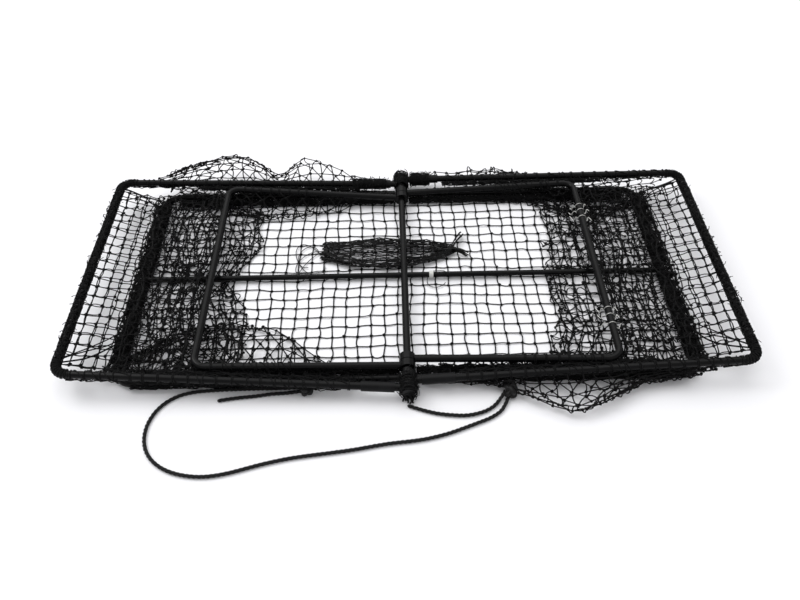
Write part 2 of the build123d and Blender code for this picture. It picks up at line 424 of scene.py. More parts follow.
@dataclass
class Strands:
    """Tubes and knots of twine, gathered into one mesh in millimetres."""

    points: list[np.ndarray] = field(default_factory=list)
    shares: list[np.ndarray] = field(default_factory=list)
    faces: list[np.ndarray] = field(default_factory=list)
    uvs: list[np.ndarray] = field(default_factory=list)
    count: int = 0

    def _add(self, points: np.ndarray, shares: np.ndarray) -> int:
        """Add vertices and return the index of the first.

        Args:
            points: Places of the vertices.
            shares: How far each follows the second body.

        Returns:
            Index of the first new vertex.
        """
        first = self.count
        self.points.append(points.reshape(-1, 3))
        self.shares.append(shares.reshape(-1))
        self.count += len(self.points[-1])
        return first

    def tubes(self, lines: np.ndarray, radius: float | np.ndarray, sides: int = 4,
              shares: np.ndarray | None = None) -> None:
        """Add closed tubes that follow lines of equally many points.

        Args:
            lines: Array (lines, points, 3).
            radius: Radius of the twine, one for all or one for each line.
            sides: Faces round each tube.
            shares: Array (lines, points) of how far each point follows the second body, from 0 to 1.
        """
        lines = np.asarray(lines, float)
        amount, length, _ = lines.shape
        shares = np.zeros((amount, length)) if shares is None else shares
        radius = np.broadcast_to(np.asarray(radius, float).reshape(-1, 1, 1, 1), (amount, 1, 1, 1))
        tangents = unit(np.gradient(lines, axis=1))
        helper = np.eye(3)[np.argmin(np.abs(tangents[:, 0]), axis=1)]
        normal = unit(np.cross(tangents[:, 0], helper))
        normals = np.empty_like(tangents)
        for step in range(length):
            normal = unit(normal - np.sum(normal * tangents[:, step], axis=1, keepdims=True)
                          * tangents[:, step])
            normals[:, step] = normal
        seconds = np.cross(tangents, normals)
        angles = (2 * np.pi * np.arange(sides) / sides)[None, None, :, None]
        ring = normals[:, :, None] * np.cos(angles) + seconds[:, :, None] * np.sin(angles)
        first = self._add(lines[:, :, None] + radius * ring, np.repeat(shares[..., None], sides, axis=2))
        index = first + np.arange(amount * length * sides).reshape(amount, length, sides)
        after = np.roll(index, -1, axis=2)
        quads = np.stack([index[:, :-1], after[:, :-1], after[:, 1:], index[:, 1:]], axis=-1)
        run = np.zeros((amount, length))
        run[:, 1:] = np.cumsum(np.linalg.norm(np.diff(lines, axis=1), axis=2), axis=1)
        near = np.broadcast_to(np.arange(sides) / sides, quads.shape[:3])
        low = np.broadcast_to(run[:, :-1, None], quads.shape[:3])
        high = np.broadcast_to(run[:, 1:, None], quads.shape[:3])
        far = near + 1 / sides
        uv = np.stack([np.stack(pair, -1) for pair in ((low, near), (low, far), (high, far), (high, near))],
                      axis=-2)
        self.faces.append(quads.reshape(-1, 4))
        self.uvs.append(uv.reshape(-1, 4, 2))
        for place, direction in ((0, -1.0), (length - 1, 1.0)):
            tip = lines[:, place] + tangents[:, place] * direction * 0.4 * radius[:, 0, 0]
            tips = self._add(tip, shares[:, place]) + np.arange(amount)
            here, there = index[:, place], after[:, place]
            if direction < 0:
                here, there = there, here
            fan = np.stack([here, there, np.broadcast_to(tips[:, None], here.shape)], axis=-1)
            self.faces.append(fan.reshape(-1, 3))
            self.uvs.append(np.broadcast_to(run[:, place, None, None, None], (amount, sides, 3, 2))
                            .reshape(-1, 3, 2))

    def tube(self, line: Sequence[Sequence[float]], radius: float, sides: int = 5,
             shares: np.ndarray | None = None) -> None:
        """Add one closed tube along a line of points."""
        self.tubes(np.asarray(line, float)[None], radius, sides, None if shares is None else shares[None])

    def knots(self, centres: np.ndarray, radius: float, draw: np.random.Generator,
              shares: np.ndarray | None = None) -> None:
        """Add a small uneven ball at each knot.

        Args:
            centres: Array (knots, 3).
            radius: Mean radius of a knot.
            draw: Source of the seeded unevenness.
            shares: How far each knot follows the second body.
        """
        amount = len(centres)
        shares = np.zeros(amount) if shares is None else shares
        turn = draw.uniform(0, np.pi, amount)
        size = radius * draw.uniform(0.75, 1.3, (amount, 3)) * (1.15, 1.0, 0.75)
        local = BALL_CORNERS[None] * size[:, None]
        cos, sin = np.cos(turn)[:, None], np.sin(turn)[:, None]
        turned = np.stack([local[..., 0] * cos - local[..., 1] * sin,
                           local[..., 0] * sin + local[..., 1] * cos, local[..., 2]], axis=-1)
        first = self._add(centres[:, None] + turned, np.repeat(shares[:, None], 12, axis=1))
        faces = first + 12 * np.arange(amount)[:, None, None] + BALL_FACES[None]
        self.faces.append(faces.reshape(-1, 3))
        spread = BALL_CORNERS[BALL_FACES][..., :2] * 2.0
        self.uvs.append(np.broadcast_to(spread, (amount, *spread.shape)).reshape(-1, 3, 2))

    def piece(self, name: str, finish: TwineFinish | CoatFinish, slot: str,
              bodies: Sequence[str]) -> bpy.types.Object:
        """Make the mesh object and tie it to its body or bodies.

        Args:
            name: Name of the piece.
            finish: Its finish.
            slot: The record's material slot; not used.
            bodies: One body, or two that the piece is shared between.

        Returns:
            The piece, in metres.
        """
        points = np.concatenate(self.points)
        points[:, 2] = np.maximum(points[:, 2], GROUND_GAP)
        weights = np.clip(np.concatenate(self.shares), 0, 1)
        mesh = bpy.data.meshes.new(name)
        mesh.vertices.add(len(points))
        totals = np.concatenate([np.full(len(block), block.shape[1]) for block in self.faces])
        starts = np.concatenate([[0], np.cumsum(totals)[:-1]])
        mesh.loops.add(int(totals.sum()))
        mesh.polygons.add(len(totals))
        mesh.polygons.foreach_set("loop_start", starts.astype(np.int32))
        mesh.loops.foreach_set("vertex_index",
                               np.concatenate([block.ravel() for block in self.faces]).astype(np.int32))
        uv = mesh.uv_layers.new(name="UVMap")
        uv.data.foreach_set("uv", np.concatenate([block.ravel() for block in self.uvs]).astype(np.float32))
        mesh.polygons.foreach_set("use_smooth", np.ones(len(totals), bool))
        mesh.materials.append(finish.material())
        made = bpy.data.objects.new(name, mesh)
        bpy.context.scene.collection.objects.link(made)
        place = (points * MM).astype(np.float32)
        if len(bodies) == 2:
            share_between(made, weights)
        mesh.vertices.foreach_set("co", place.ravel())
        mesh.update(calc_edges=True)
        mesh.validate()
        if len(bodies) == 1:
            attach(made, bodies[0])
        LOG.info("%s: %d faces on %s", name, len(totals), " and ".join(bodies))
        return made


def share_between(piece: bpy.types.Object, weights: np.ndarray) -> None:
    """Blend a piece between two bodies with a chosen weight at each vertex.

    The blend turns a place along a line from 0 to 1 into a smooth weight, so each vertex is first put at
    the place on the X axis whose smooth weight is the one that is wanted.

    Args:
        piece: The piece, whose vertices are given their real places afterwards.
        weights: How far each vertex follows the second body, from 0 to 1.
    """
    inverse = 0.5 - np.sin(np.arcsin(1 - 2 * weights) / 3)
    line = np.zeros((len(weights), 3), np.float32)
    line[:, 0] = inverse
    piece.data.vertices.foreach_set("co", line.ravel())
    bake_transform(piece)


@dataclass
class Net:
    """Knotted net: where its knots are, which bars join them, and what each knot follows."""

    places: np.ndarray
    bars: np.ndarray
    shares: np.ndarray
    seed: int
    twine: float = 0.85
    knot: float = 2.2

    @classmethod
    def grid(cls, places: np.ndarray, shares: np.ndarray, seed: int, **sizes: float) -> "Net":
        """Make a net of square meshes from an array (rows, columns, 3) of its knots.

        Args:
            places: Places of the knots.
            shares: How far each knot follows the second body.
            seed: Seed of its unevenness.
            **sizes: Radius of its twine and of its knots.

        Returns:
            The net.
        """
        rows, columns, _ = places.shape
        index = np.arange(rows * columns).reshape(rows, columns)
        down = np.stack([index[:-1].ravel(), index[1:].ravel()], axis=1)
        over = np.stack([index[:, :-1].ravel(), index[:, 1:].ravel()], axis=1)
        return cls(places.reshape(-1, 3), np.concatenate([down, over]), shares.ravel(), seed, **sizes)

    @classmethod
    def joined(cls, nets: Sequence["Net"], seed: int) -> "Net":
        """Make one net of several, without new bars between them.

        Args:
            nets: The nets, of the same twine.
            seed: Seed of the new net.

        Returns:
            The joined net.
        """
        bars, first = [], 0
        for net in nets:
            bars.append(net.bars + first)
            first += len(net.places)
        return cls(np.concatenate([net.places for net in nets]), np.concatenate(bars),
                   np.concatenate([net.shares for net in nets]), seed, nets[0].twine, nets[0].knot)

    def ripple(self, size: Sequence[float], wavelength: float, free: np.ndarray) -> None:
        """Shift the knots by slow seeded waves, by as much as each knot is free to move.

        Args:
            size: Largest shift on each axis.
            wavelength: Mean length of the waves.
            free: How free each knot is, from 0 to 1.
        """
        draw = np.random.default_rng(self.seed + 2)
        flat = self.places[:, :2].copy()
        for axis, reach in enumerate(size):
            wave = np.zeros(len(flat))
            for _ in range(4):
                turn = draw.uniform(0, 2 * np.pi)
                rate = 2 * np.pi / (wavelength * draw.uniform(0.6, 1.6))
                wave += np.sin(rate * (flat @ (np.cos(turn), np.sin(turn))) + draw.uniform(0, 2 * np.pi))
            self.places[:, axis] += reach * wave / 2.5 * free

    def disturb(self, spread: Sequence[float], held: np.ndarray) -> None:
        """Move the knots that aren't held by a seeded random step, with the given spread on each axis.

        Args:
            spread: Spread of the step on each axis.
            held: Which knots stay where they are.
        """
        draw = np.random.default_rng(self.seed)
        step = draw.normal(0, 1, self.places.shape) * np.asarray(spread)
        self.places[~held] += step[~held]

    def settle(self, held: np.ndarray, steps: int, drop: float, floor: float) -> None:
        """Let the net fall until its bars are tight or it lies on what is under it.

        Args:
            held: Which knots stay where they are.
            steps: Number of steps of the fall.
            drop: Fall of a free knot in one step.
            floor: Height of what the net comes to lie on.
        """
        start, stop = self.bars.T
        ties = np.maximum(np.bincount(self.bars.ravel(), minlength=len(self.places)), 1)[:, None]
        for _ in range(steps):
            self.places[~held, 2] -= drop
            for _ in range(6):
                gap = self.places[stop] - self.places[start]
                length = np.linalg.norm(gap, axis=1) + 1e-9
                pull = gap * (np.maximum(length - MESH_SIDE, 0) / length / 2)[:, None]
                move = np.zeros_like(self.places)
                np.add.at(move, start, pull)
                np.add.at(move, stop, -pull)
                self.places[~held] += (1.8 * move / ties)[~held]
                self.places[~held, 2] = np.maximum(self.places[~held, 2], floor)

    def strands(self, flatness: float = 0.35, slack: float | np.ndarray = 1.0) -> Strands:
        """Make the twine of the net: each bar bows as far as its spare length lets it.

        Args:
            flatness: How far the bows leave the horizontal, from 0 to 1.
            slack: Share of the spare length that shows as a bow, one for all or one for each knot.

        Returns:
            The twine and knots.
        """
        draw = np.random.default_rng(self.seed + 1)
        first, last = self.places[self.bars[:, 0]], self.places[self.bars[:, 1]]
        chord = last - first
        length = np.linalg.norm(chord, axis=1)
        slack = np.broadcast_to(slack, len(self.places))[self.bars].mean(axis=1)
        spare = np.sqrt(np.maximum(MESH_SIDE ** 2 - length ** 2, 0)) * 0.43 * slack
        spare = np.minimum(spare, 0.42 * MESH_SIDE)
        way = draw.normal(0, 1, chord.shape) * (1, 1, flatness)
        direction = unit(chord)
        way = unit(way - np.sum(way * direction, axis=1, keepdims=True) * direction)
        share = np.linspace(0, 1, 5)[None, :, None]
        lean = draw.uniform(-0.5, 0.5, (len(chord), 1, 1))
        bow = 4 * share * (1 - share) * (1 + lean * (2 * share - 1))
        lines = first[:, None] + chord[:, None] * share + way[:, None] * spare[:, None, None] * bow
        lines[..., 2] = np.maximum(lines[..., 2], self.twine + GROUND_GAP)
        shares = (self.shares[self.bars[:, :1]] * (1 - share[..., 0])
                  + self.shares[self.bars[:, 1:]] * share[..., 0])
        made = Strands()
        made.tubes(lines, self.twine, 4, shares)
        made.knots(self.places, self.knot, draw, self.shares)
        return made


# The frame that the soft parts hang on


@dataclass(frozen=True)
class HoopLine:
    """Centre line of one U-shaped hoop, folded flat."""

    side: Side
    reach: float
    half_width: float
    front_lane: float
    rear_lane: float
    axle_z: float = 17.3
    arm_start: float = 7.5

    def point(self, radius: float | np.ndarray, y: float | np.ndarray, lift: float | np.ndarray = 0.0
              ) -> np.ndarray:
        """Places in the hoop's plane at a distance from the axle, raised by a lift.

        Args:
            radius: Distance from the axle.
            y: Place along the axle.
            lift: Height over the plane.

        Returns:
            Array (..., 3) of the places.
        """
        tilt = math.radians(FOLDED_TILT)
        radius, y, lift = np.broadcast_arrays(*(np.asarray(value, float) for value in (radius, y, lift)))
        return np.stack([self.side.value * radius * math.cos(tilt), y,
                         self.axle_z + radius * math.sin(tilt) + lift], axis=-1)

    def arm_y(self, end: End, radius: float | np.ndarray) -> np.ndarray:
        """Y of the arm at a distance from the axle.

        Args:
            end: Front or rear arm.
            radius: Distance from the axle.

        Returns:
            Y of its centre.
        """
        lane = self.front_lane if end is End.FRONT else self.rear_lane
        share = np.clip((np.asarray(radius, float) - self.arm_start) / (self.reach - self.arm_start), 0, 1)
        return end.value * (lane + (self.half_width - lane) * share)

    def arm(self, end: End, first: float, last: float) -> tuple[np.ndarray, np.ndarray]:
        """Two points of an arm, at two distances from the axle."""
        return tuple(self.point(radius, self.arm_y(end, radius)) for radius in (first, last))

    def end_rod(self, half_length: float) -> tuple[np.ndarray, np.ndarray]:
        """Two points of the end rod, in front and behind."""
        return tuple(self.point(self.reach, end.value * half_length) for end in End)


def outer_hoop(side: Side) -> HoopLine:
    """Line of the half's outer hoop."""
    lanes = (204.5, 193.5) if side is Side.LEFT else (193.5, 204.5)
    return HoopLine(side, 440.0, 186.0, *lanes)


def inner_hoop(side: Side) -> HoopLine:
    """Line of the half's inner hoop."""
    lanes = (170.5, 159.5) if side is Side.LEFT else (159.5, 170.5)
    return HoopLine(side, 271.0, 174.5, *lanes)


@dataclass(frozen=True)
class FloorFrame:
    """Rod frame on the ground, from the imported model's own box."""

    rod: float
    half_length: float
    half_width: float
    height: float

    @classmethod
    def measured(cls) -> "FloorFrame":
        """Read the frame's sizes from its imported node.

        Returns:
            The frame in millimetres.
        """
        low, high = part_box("base_frame")
        rod = (high.z - low.z) / 2 / MM
        return cls(rod, high.x / MM - rod, high.y / MM - rod, high.z / MM - rod)


FRAME_RODS = FloorFrame.measured()


def lining(start: np.ndarray, stop: np.ndarray) -> tuple[np.ndarray, np.ndarray, np.ndarray, float]:
    """Direction of a straight rod, two directions across it, and its length.

    Args:
        start: Start of the rod's centre line.
        stop: End of it.

    Returns:
        Along, sideways, up and the length.
    """
    length = float(np.linalg.norm(stop - start))
    along = (stop - start) / length
    up = np.array((0.0, 0.0, 1.0))
    side = unit(np.cross(up, along))
    return along, side, np.cross(along, side), length


def on_rod(start: np.ndarray, stop: np.ndarray, distance: np.ndarray, radius: np.ndarray | float,
           angle: np.ndarray) -> np.ndarray:
    """Places round a straight rod at distances along it, at a radius and an angle from its side.

    Args:
        start: Start of the rod's centre line.
        stop: End of it.
        distance: Distances from the start.
        radius: Distances from the centre line.
        angle: Angles round it.

    Returns:
        Array (..., 3) of the places.
    """
    along, side, rise, _ = lining(start, stop)
    distance, radius, angle = np.broadcast_arrays(distance, radius, angle)
    return (start + along * distance[..., None] + side * (radius * np.cos(angle))[..., None]
            + rise * (radius * np.sin(angle))[..., None])


@dataclass
class Seam:
    """Net edge lashed along a rod: a tight turn and a half at each mesh and the twine that runs between."""

    name: str
    bodies: tuple[str, ...]
    rod: float = 5.0
    twine: float = 0.72
    turns: float = 1.5
    turn_step: float = 1.9
    pitch: float = MESH_SIDE
    seed: int = 11

    def lash(self, made: Strands, start: np.ndarray, stop: np.ndarray,
             skips: Sequence[tuple[float, float]] = ()) -> None:
        """Add the lashing of one straight rod.

        Args:
            made: The strands that it is added to.
            start: One end of the lashed length.
            stop: The other end.
            skips: Lengths from the start that stay bare.
        """
        draw = np.random.default_rng(self.seed + int(abs(start[0]) + 7 * abs(start[1])))
        length = lining(start, stop)[3]
        centres = np.arange(self.pitch / 2, length, self.pitch)
        centres = centres + draw.uniform(-1.6, 1.6, len(centres))
        first_angle = draw.uniform(0, 2 * np.pi, len(centres))
        steps = np.linspace(0, 1, 16)
        turn = first_angle[:, None] + 2 * np.pi * self.turns * steps
        distance = centres[:, None] + self.turns * self.turn_step * (steps - 0.5)
        keep = ~np.any([(centres > low) & (centres < high) for low, high in skips], axis=0) \
            if skips else np.ones(len(centres), bool)
        surface = self.rod + self.twine * 0.98
        made.tubes(on_rod(start, stop, distance, surface, turn)[keep], self.twine, 5)
        cross = steps[::2]
        last_turn = turn[:-1, -1:]
        sweep = np.mod(first_angle[1:, None] - last_turn, 2 * np.pi)
        run_angle = last_turn + sweep * cross
        run_distance = distance[:-1, -1:] + (distance[1:, :1] - distance[:-1, -1:]) * cross
        kept = keep[:-1] & keep[1:]
        made.tubes(on_rod(start, stop, run_distance, surface, run_angle)[kept], self.twine, 5)


def selvedge(made: Strands, start: np.ndarray, stop: np.ndarray, rod: float, low: float, high: float,
             strands: int, seed: int) -> None:
    """Lay the bunched net edge along one side of a rod, as loose strands that run its whole length.

    Args:
        made: The strands that it is added to.
        start: One end of the rod.
        stop: The other end.
        rod: Radius of the rod.
        low: Lowest angle round the rod, from its side, in radians.
        high: Highest angle.
        strands: Number of strands.
        seed: Seed of the unevenness.
    """
    draw = np.random.default_rng(seed)
    length = lining(start, stop)[3]
    share = np.linspace(0, 1, int(length / 6))
    distance = share * length + draw.uniform(-2, 2, (strands, 1)) * np.sin(np.pi * share)
    phase = draw.uniform(0, 2 * np.pi, (3, strands, 1))
    mesh_wave = np.sin(2 * np.pi * distance / MESH_SIDE + phase[0])
    drift = np.sin(2 * np.pi * distance / 95 + phase[1])
    angle = (low + high) / 2 + (high - low) / 2 * np.clip(0.7 * drift + 0.4 * mesh_wave, -1, 1)
    reach = rod + 0.8 + 1.5 * (1 + np.sin(2 * np.pi * distance / 41 + phase[2])) \
        * draw.uniform(0.3, 1.0, (strands, 1))
    made.tubes(on_rod(start, stop, distance, reach, angle), 0.68, 4)


def corner_turns(made: Strands, centre: np.ndarray, first: np.ndarray, second: np.ndarray, bend: float,
                 rod: float, seed: int) -> None:
    """Wind twine round a rod's bend.

    Args:
        made: The strands that the turns are added to.
        centre: Middle of the bend's arc.
        first: Unit direction from the middle to the start of the bend.
        second: Unit direction from the middle to its end.
        bend: Radius of the bend.
        rod: Radius of the rod.
        seed: Seed of the unevenness.
    """
    draw = np.random.default_rng(seed)
    up = unit(np.cross(first, second))
    turn = np.linspace(0, 2 * np.pi * 9, 110)
    slide = np.linspace(-0.15, 1.15, 110) * np.pi / 2
    out = first * np.cos(slide)[:, None] + second * np.sin(slide)[:, None]
    for start in draw.uniform(0, 6, 3):
        ring = rod + 0.8 + 0.5 * np.sin(3.3 * turn + start)
        made.tube(centre + out * (bend + ring * np.cos(turn + start))[:, None]
                  + up * (ring * np.sin(turn + start))[:, None], 0.7, 4)


@dataclass
class Hem:
    """Net edge gathered round a rod: long bunched strands, turns of lashing twine and stray ends."""

    half_depth: float = 8.0
    half_height: float = 7.8
    rod: float = 5.0
    strands: int = 14
    stray: int = 90
    stray_reach: float = 5.0
    lash_pitch: float = 9.0
    twine: float = 0.7
    seed: int = 21

    def bunch(self, made: Strands, start: np.ndarray, stop: np.ndarray) -> None:
        """Add the gathered net of one straight rod.

        Args:
            made: The strands that it is added to.
            start: Start of the rod's centre line.
            stop: End of it.
        """
        place = abs(start[0]) + abs(start[1]) + 2 * start[0] * (start[0] > 0)
        draw = np.random.default_rng(self.seed + int(place))
        length = lining(start, stop)[3]
        steps = int(length / 5)
        distance = np.linspace(0, length, steps)
        grid = np.linspace(0, 1, steps)
        base = np.linspace(0, 2 * np.pi, self.strands, endpoint=False)[:, None]
        waves = sum(draw.uniform(0.15, 0.55, (self.strands, 1))
                    * np.sin(2 * np.pi * (grid * turns + draw.uniform(0, 1, (self.strands, 1))))
                    for turns in (1.7, length / 60, length / 31, length / 17))
        angle = base + waves
        level = 0.45 + 0.3 * draw.normal(0, 1, (self.strands, 1))
        phase = draw.uniform(0, 1, (self.strands, 1))
        depth = np.clip(level + 0.35 * np.sin(2 * np.pi * (grid * length / 23 + phase)), 0, 1)
        made.tubes(on_rod(start, stop, distance, self._reach(angle, depth), angle), self.twine, 4)
        turns = length / self.lash_pitch
        for start_angle in (0.0, 2.1):
            share = np.linspace(0, 1, int(turns * 9))
            turn = start_angle + 2 * np.pi * turns * share + 0.5 * np.sin(2 * np.pi * share * turns / 2.7)
            made.tube(on_rod(start, stop, share * length, self._reach(turn, 0.85), turn), self.twine, 4)
        share = np.linspace(0, 1, 5)
        root = draw.uniform(0, length, (self.stray, 1))
        angle = draw.uniform(-0.5, np.pi + 0.5, (self.stray, 1))
        angle = angle + share * draw.normal(0, 0.6, (self.stray, 1))
        spread = self._reach(angle, 0.5) + draw.uniform(0.4, 1, (self.stray, 1)) * self.stray_reach * share
        made.tubes(on_rod(start, stop, root + share * draw.normal(0, 5, (self.stray, 1)), spread, angle),
                   self.twine * 0.75, 4)

    def _reach(self, angle: np.ndarray, depth: np.ndarray | float) -> np.ndarray:
        """Distance from the rod's centre, between its surface and the hem's own outline.

        Args:
            angle: Angles round the rod.
            depth: Share of the way out, from 0 to 1.

        Returns:
            The distances.
        """
        outline = self.half_depth * self.half_height / np.sqrt(
            (self.half_height * np.cos(angle)) ** 2 + (self.half_depth * np.sin(angle)) ** 2)
        inside = self.rod + self.twine
        return inside + np.maximum(outline - self.twine - inside, 0) * depth


# Net panels


@dataclass
class FloorNet:
    """Square net stretched in the floor frame."""

    columns: int = 41
    rows: int = 20
    inset: float = 3.5
    height: float = 1.3
    wave: float = 2.6

    def build(self) -> bpy.types.Object:
        """Returns:
            Its mesh object.
        """
        half_length = FRAME_RODS.half_length - self.inset
        half_width = FRAME_RODS.half_width - self.inset
        x, y = np.meshgrid(np.linspace(-half_length, half_length, self.columns + 1),
                           np.linspace(-half_width, half_width, self.rows + 1), indexing="ij")
        rim = np.ones_like(x, bool)
        rim[1:-1, 1:-1] = False
        inner = np.where(rim, 0.0, 1.0)
        shift_x = self.wave * np.sin(y / 47 + 0.7) * np.cos(x / 83)
        shift_y = self.wave * np.sin(x / 61 + 1.1) * np.cos(y / 71 + 0.4)
        z = np.where(rim, FRAME_RODS.height - 2.0, self.height)
        places = np.stack([x + shift_x * inner, y + shift_y * inner, z], axis=-1)
        net = Net.grid(places, np.zeros_like(x), seed=101)
        net.disturb((0.8, 0.8, 0.25), rim.ravel())
        piece = net.strands(slack=0.5).piece("floor_net", NET_TWINE, "black_net", (FLOOR_BODY,))
        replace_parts(piece, "base_net")
        return piece


@dataclass
class RoofNet:
    """Net from an outer hoop's end rod to the inner hoop's end rod, slack while the trap is folded."""

    side: Side
    rows: int = 16
    columns: int = 20
    sag: float = 11.0
    half_width: float = 168.0

    def build(self) -> bpy.types.Object:
        """Make the roof net of one half.

        Returns:
            Its mesh object.
        """
        outer, inner = outer_hoop(self.side), inner_hoop(self.side)
        low, high = (math.radians(FOLDED_TILT + OUTER_SWING),
                     math.radians(FOLDED_TILT + OUTER_SWING + INNER_SWING))
        share = np.linspace(0, 1, self.rows + 1)
        start = outer.reach * np.array((math.cos(low), math.sin(low)))
        stop = inner.reach * np.array((math.cos(high), math.sin(high)))
        open_x = start[0] + (stop[0] - start[0]) * share
        open_z = start[1] + (stop[1] - start[1]) * share
        radius = np.hypot(open_x, open_z)
        weight = np.clip((np.arctan2(open_z, open_x) - low) / (high - low), 0, 1)
        y = np.linspace(-self.half_width, self.half_width, self.columns + 1)
        hang = -self.sag * np.sin(np.pi * share)
        places = outer.point(radius[:, None], y[None], hang[:, None])
        held = np.zeros(places.shape[:2], bool)
        held[0] = held[-1] = True
        net = Net.grid(places, np.broadcast_to(weight[:, None], held.shape).copy(),
                       seed=200 + self.side.value)
        by_row = np.clip((share - 0.22) / 0.15, 0, 1)[:, None]
        by_corner = 0.9 * np.clip((y - 95) / 45, 0, 1)[None] * np.clip(share * 9, 0, 1)[:, None]
        tangle = (np.maximum(by_row, by_corner) * (1 - share[:, None] ** 8)).ravel()
        draw = np.random.default_rng(net.seed)
        step = draw.normal(0, 1, net.places.shape) * (0.7 + 4.2 * tangle)[:, None] * (1.0, 1.0, 0.7)
        net.places[~held.ravel()] += step[~held.ravel()]
        net.ripple((7.0, 8.0, 3.0), 90.0, tangle)
        net.settle(held.ravel(), steps=4, drop=0.5, floor=13.0)
        made = net.strands(flatness=0.5, slack=0.4 + 0.6 * tangle)
        piece = made.piece(f"roof_net_{self.side.word}", NET_TWINE, "black_net",
                           (self.side.outer_body, self.side.inner_body))
        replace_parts(piece, f"top_net_{self.side.word}")
        f"outer_hoop_{self.side.word}"
        f"inner_hoop_{self.side.word}"
        return piece


@dataclass
class EndNet:
    """End wall from the floor frame's end rod to the outer hoop's, bunched at its foot while folded."""

    side: Side
    rows: int = 18
    spread_rows: int = 4
    columns: int = 20
    foot_half_width: float = 160.0
    top_half_width: float = 168.0

    def build(self) -> bpy.types.Object:
        """Make the end net of one half.

        Returns:
            Its mesh object.
        """
        outer = outer_hoop(self.side)
        draw = np.random.default_rng(300 + self.side.value)
        share = np.linspace(0, 1, self.rows + 1)
        bunched = self.rows - self.spread_rows
        foot = FRAME_RODS.half_length + 3
        radius = np.empty(self.rows + 1)
        zigzag = np.where(np.arange(bunched + 1) % 2 == 0, -6.0, 8.0)
        radius[:bunched + 1] = foot + zigzag + draw.uniform(-3, 3, bunched + 1)
        radius[0] = foot
        radius[bunched:] = np.linspace(foot + 8, outer.reach, self.spread_rows + 1)
        height = np.empty(self.rows + 1)
        height[:bunched + 1] = 8 + 8 * share[:bunched + 1] / share[bunched]
        plane_z = outer.point(radius[bunched:], 0.0)[:, 2]
        height[bunched:] = 16 + (plane_z - 16) * np.linspace(0, 1, self.spread_rows + 1)
        half = self.foot_half_width + (self.top_half_width - self.foot_half_width) * share
        y = np.linspace(-1, 1, self.columns + 1)[None] * half[:, None]
        x = np.broadcast_to((self.side.value * radius)[:, None], y.shape)
        z = np.broadcast_to(height[:, None], y.shape)
        held = np.zeros(y.shape, bool)
        held[0] = held[-1] = True
        net = Net.grid(np.stack([x, y, z], axis=-1), np.broadcast_to(share[:, None], y.shape).copy(),
                       seed=310 + self.side.value)
        loose = np.where(np.arange(self.rows + 1) < bunched, 3.4, 0.7)
        step = draw.normal(0, 1, net.places.shape) * np.repeat(loose, self.columns + 1)[:, None]
        step *= (1.0, 1.0, 0.6)
        net.places[~held.ravel()] += step[~held.ravel()]
        net.settle(held.ravel(), steps=3, drop=0.4, floor=6.0)
        made = net.strands(flatness=0.5, slack=np.repeat(loose / loose.max(), self.columns + 1))
        piece = made.piece(f"end_wall_net_{self.side.word}", NET_TWINE, "black_net",
                           (FLOOR_BODY, self.side.outer_body))
        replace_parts(piece, f"end_net_{self.side.word}")
        f"outer_hoop_{self.side.word}"
        return piece


@dataclass
class Funnel:
    """Entrance funnel: two slack layers that run in from the end wall to a mouth over the floor net."""

    side: Side
    mouth: tuple[tuple[float, float], ...]
    rows: int = 11
    columns: int = 19
    half_width: float = 164.0
    wall_share: float = 0.4
    mouth_share: float = 0.13

    def build(self) -> bpy.types.Object:
        """Make both layers as one net.

        Returns:
            Its mesh object.
        """
        y_marks, reach_marks = np.array(self.mouth).T
        root = FRAME_RODS.half_length - 6
        share = np.linspace(0, 1, self.rows + 1)
        y = np.linspace(-self.half_width, self.half_width, self.columns + 1)
        mouth = np.interp(y, y_marks, reach_marks)
        nets = []
        for layer, (root_share, lip_share, root_z, lip_z) in enumerate(
                ((0.0, 0.03, 7.0, 3.2), (self.wall_share, self.mouth_share, 19.0, 8.0))):
            x = root + (mouth[None] - root) * share[:, None]
            lift = root_z + (lip_z - root_z) * share[:, None] ** 0.6
            pinch = 1 - 0.10 * share[:, None]
            places = np.stack([self.side.value * x, y[None] * pinch, lift + 0 * x], axis=-1)
            weight = np.broadcast_to((root_share + (lip_share - root_share) * share)[:, None], x.shape)
            held = np.zeros(x.shape, bool)
            held[0] = True
            net = Net.grid(places, weight.copy(), seed=400 + 10 * layer + self.side.value)
            free = np.repeat(np.clip(share * 4, 0, 1), self.columns + 1)
            net.ripple((11.0, 12.0, 0.0), 105.0, free)
            net.disturb((4.5, 4.5, 1.5), held.ravel())
            net.settle(held.ravel(), steps=5, drop=0.5, floor=2.6 + 3.4 * layer)
            nets.append(net)
        both = Net.joined(nets, seed=430 + self.side.value)
        lips = len(nets[0].places)
        edge = np.arange(lips - self.columns - 1, lips)
        both.bars = np.concatenate([both.bars, np.stack([edge, edge + lips], axis=1)])
        made = both.strands(flatness=0.3, slack=1.7)
        piece = made.piece(f"funnel_net_{self.side.word}", NET_TWINE, "black_net",
                           (FLOOR_BODY, self.side.outer_body))
        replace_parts(piece, f"funnel_{self.side.word}")
        return piece


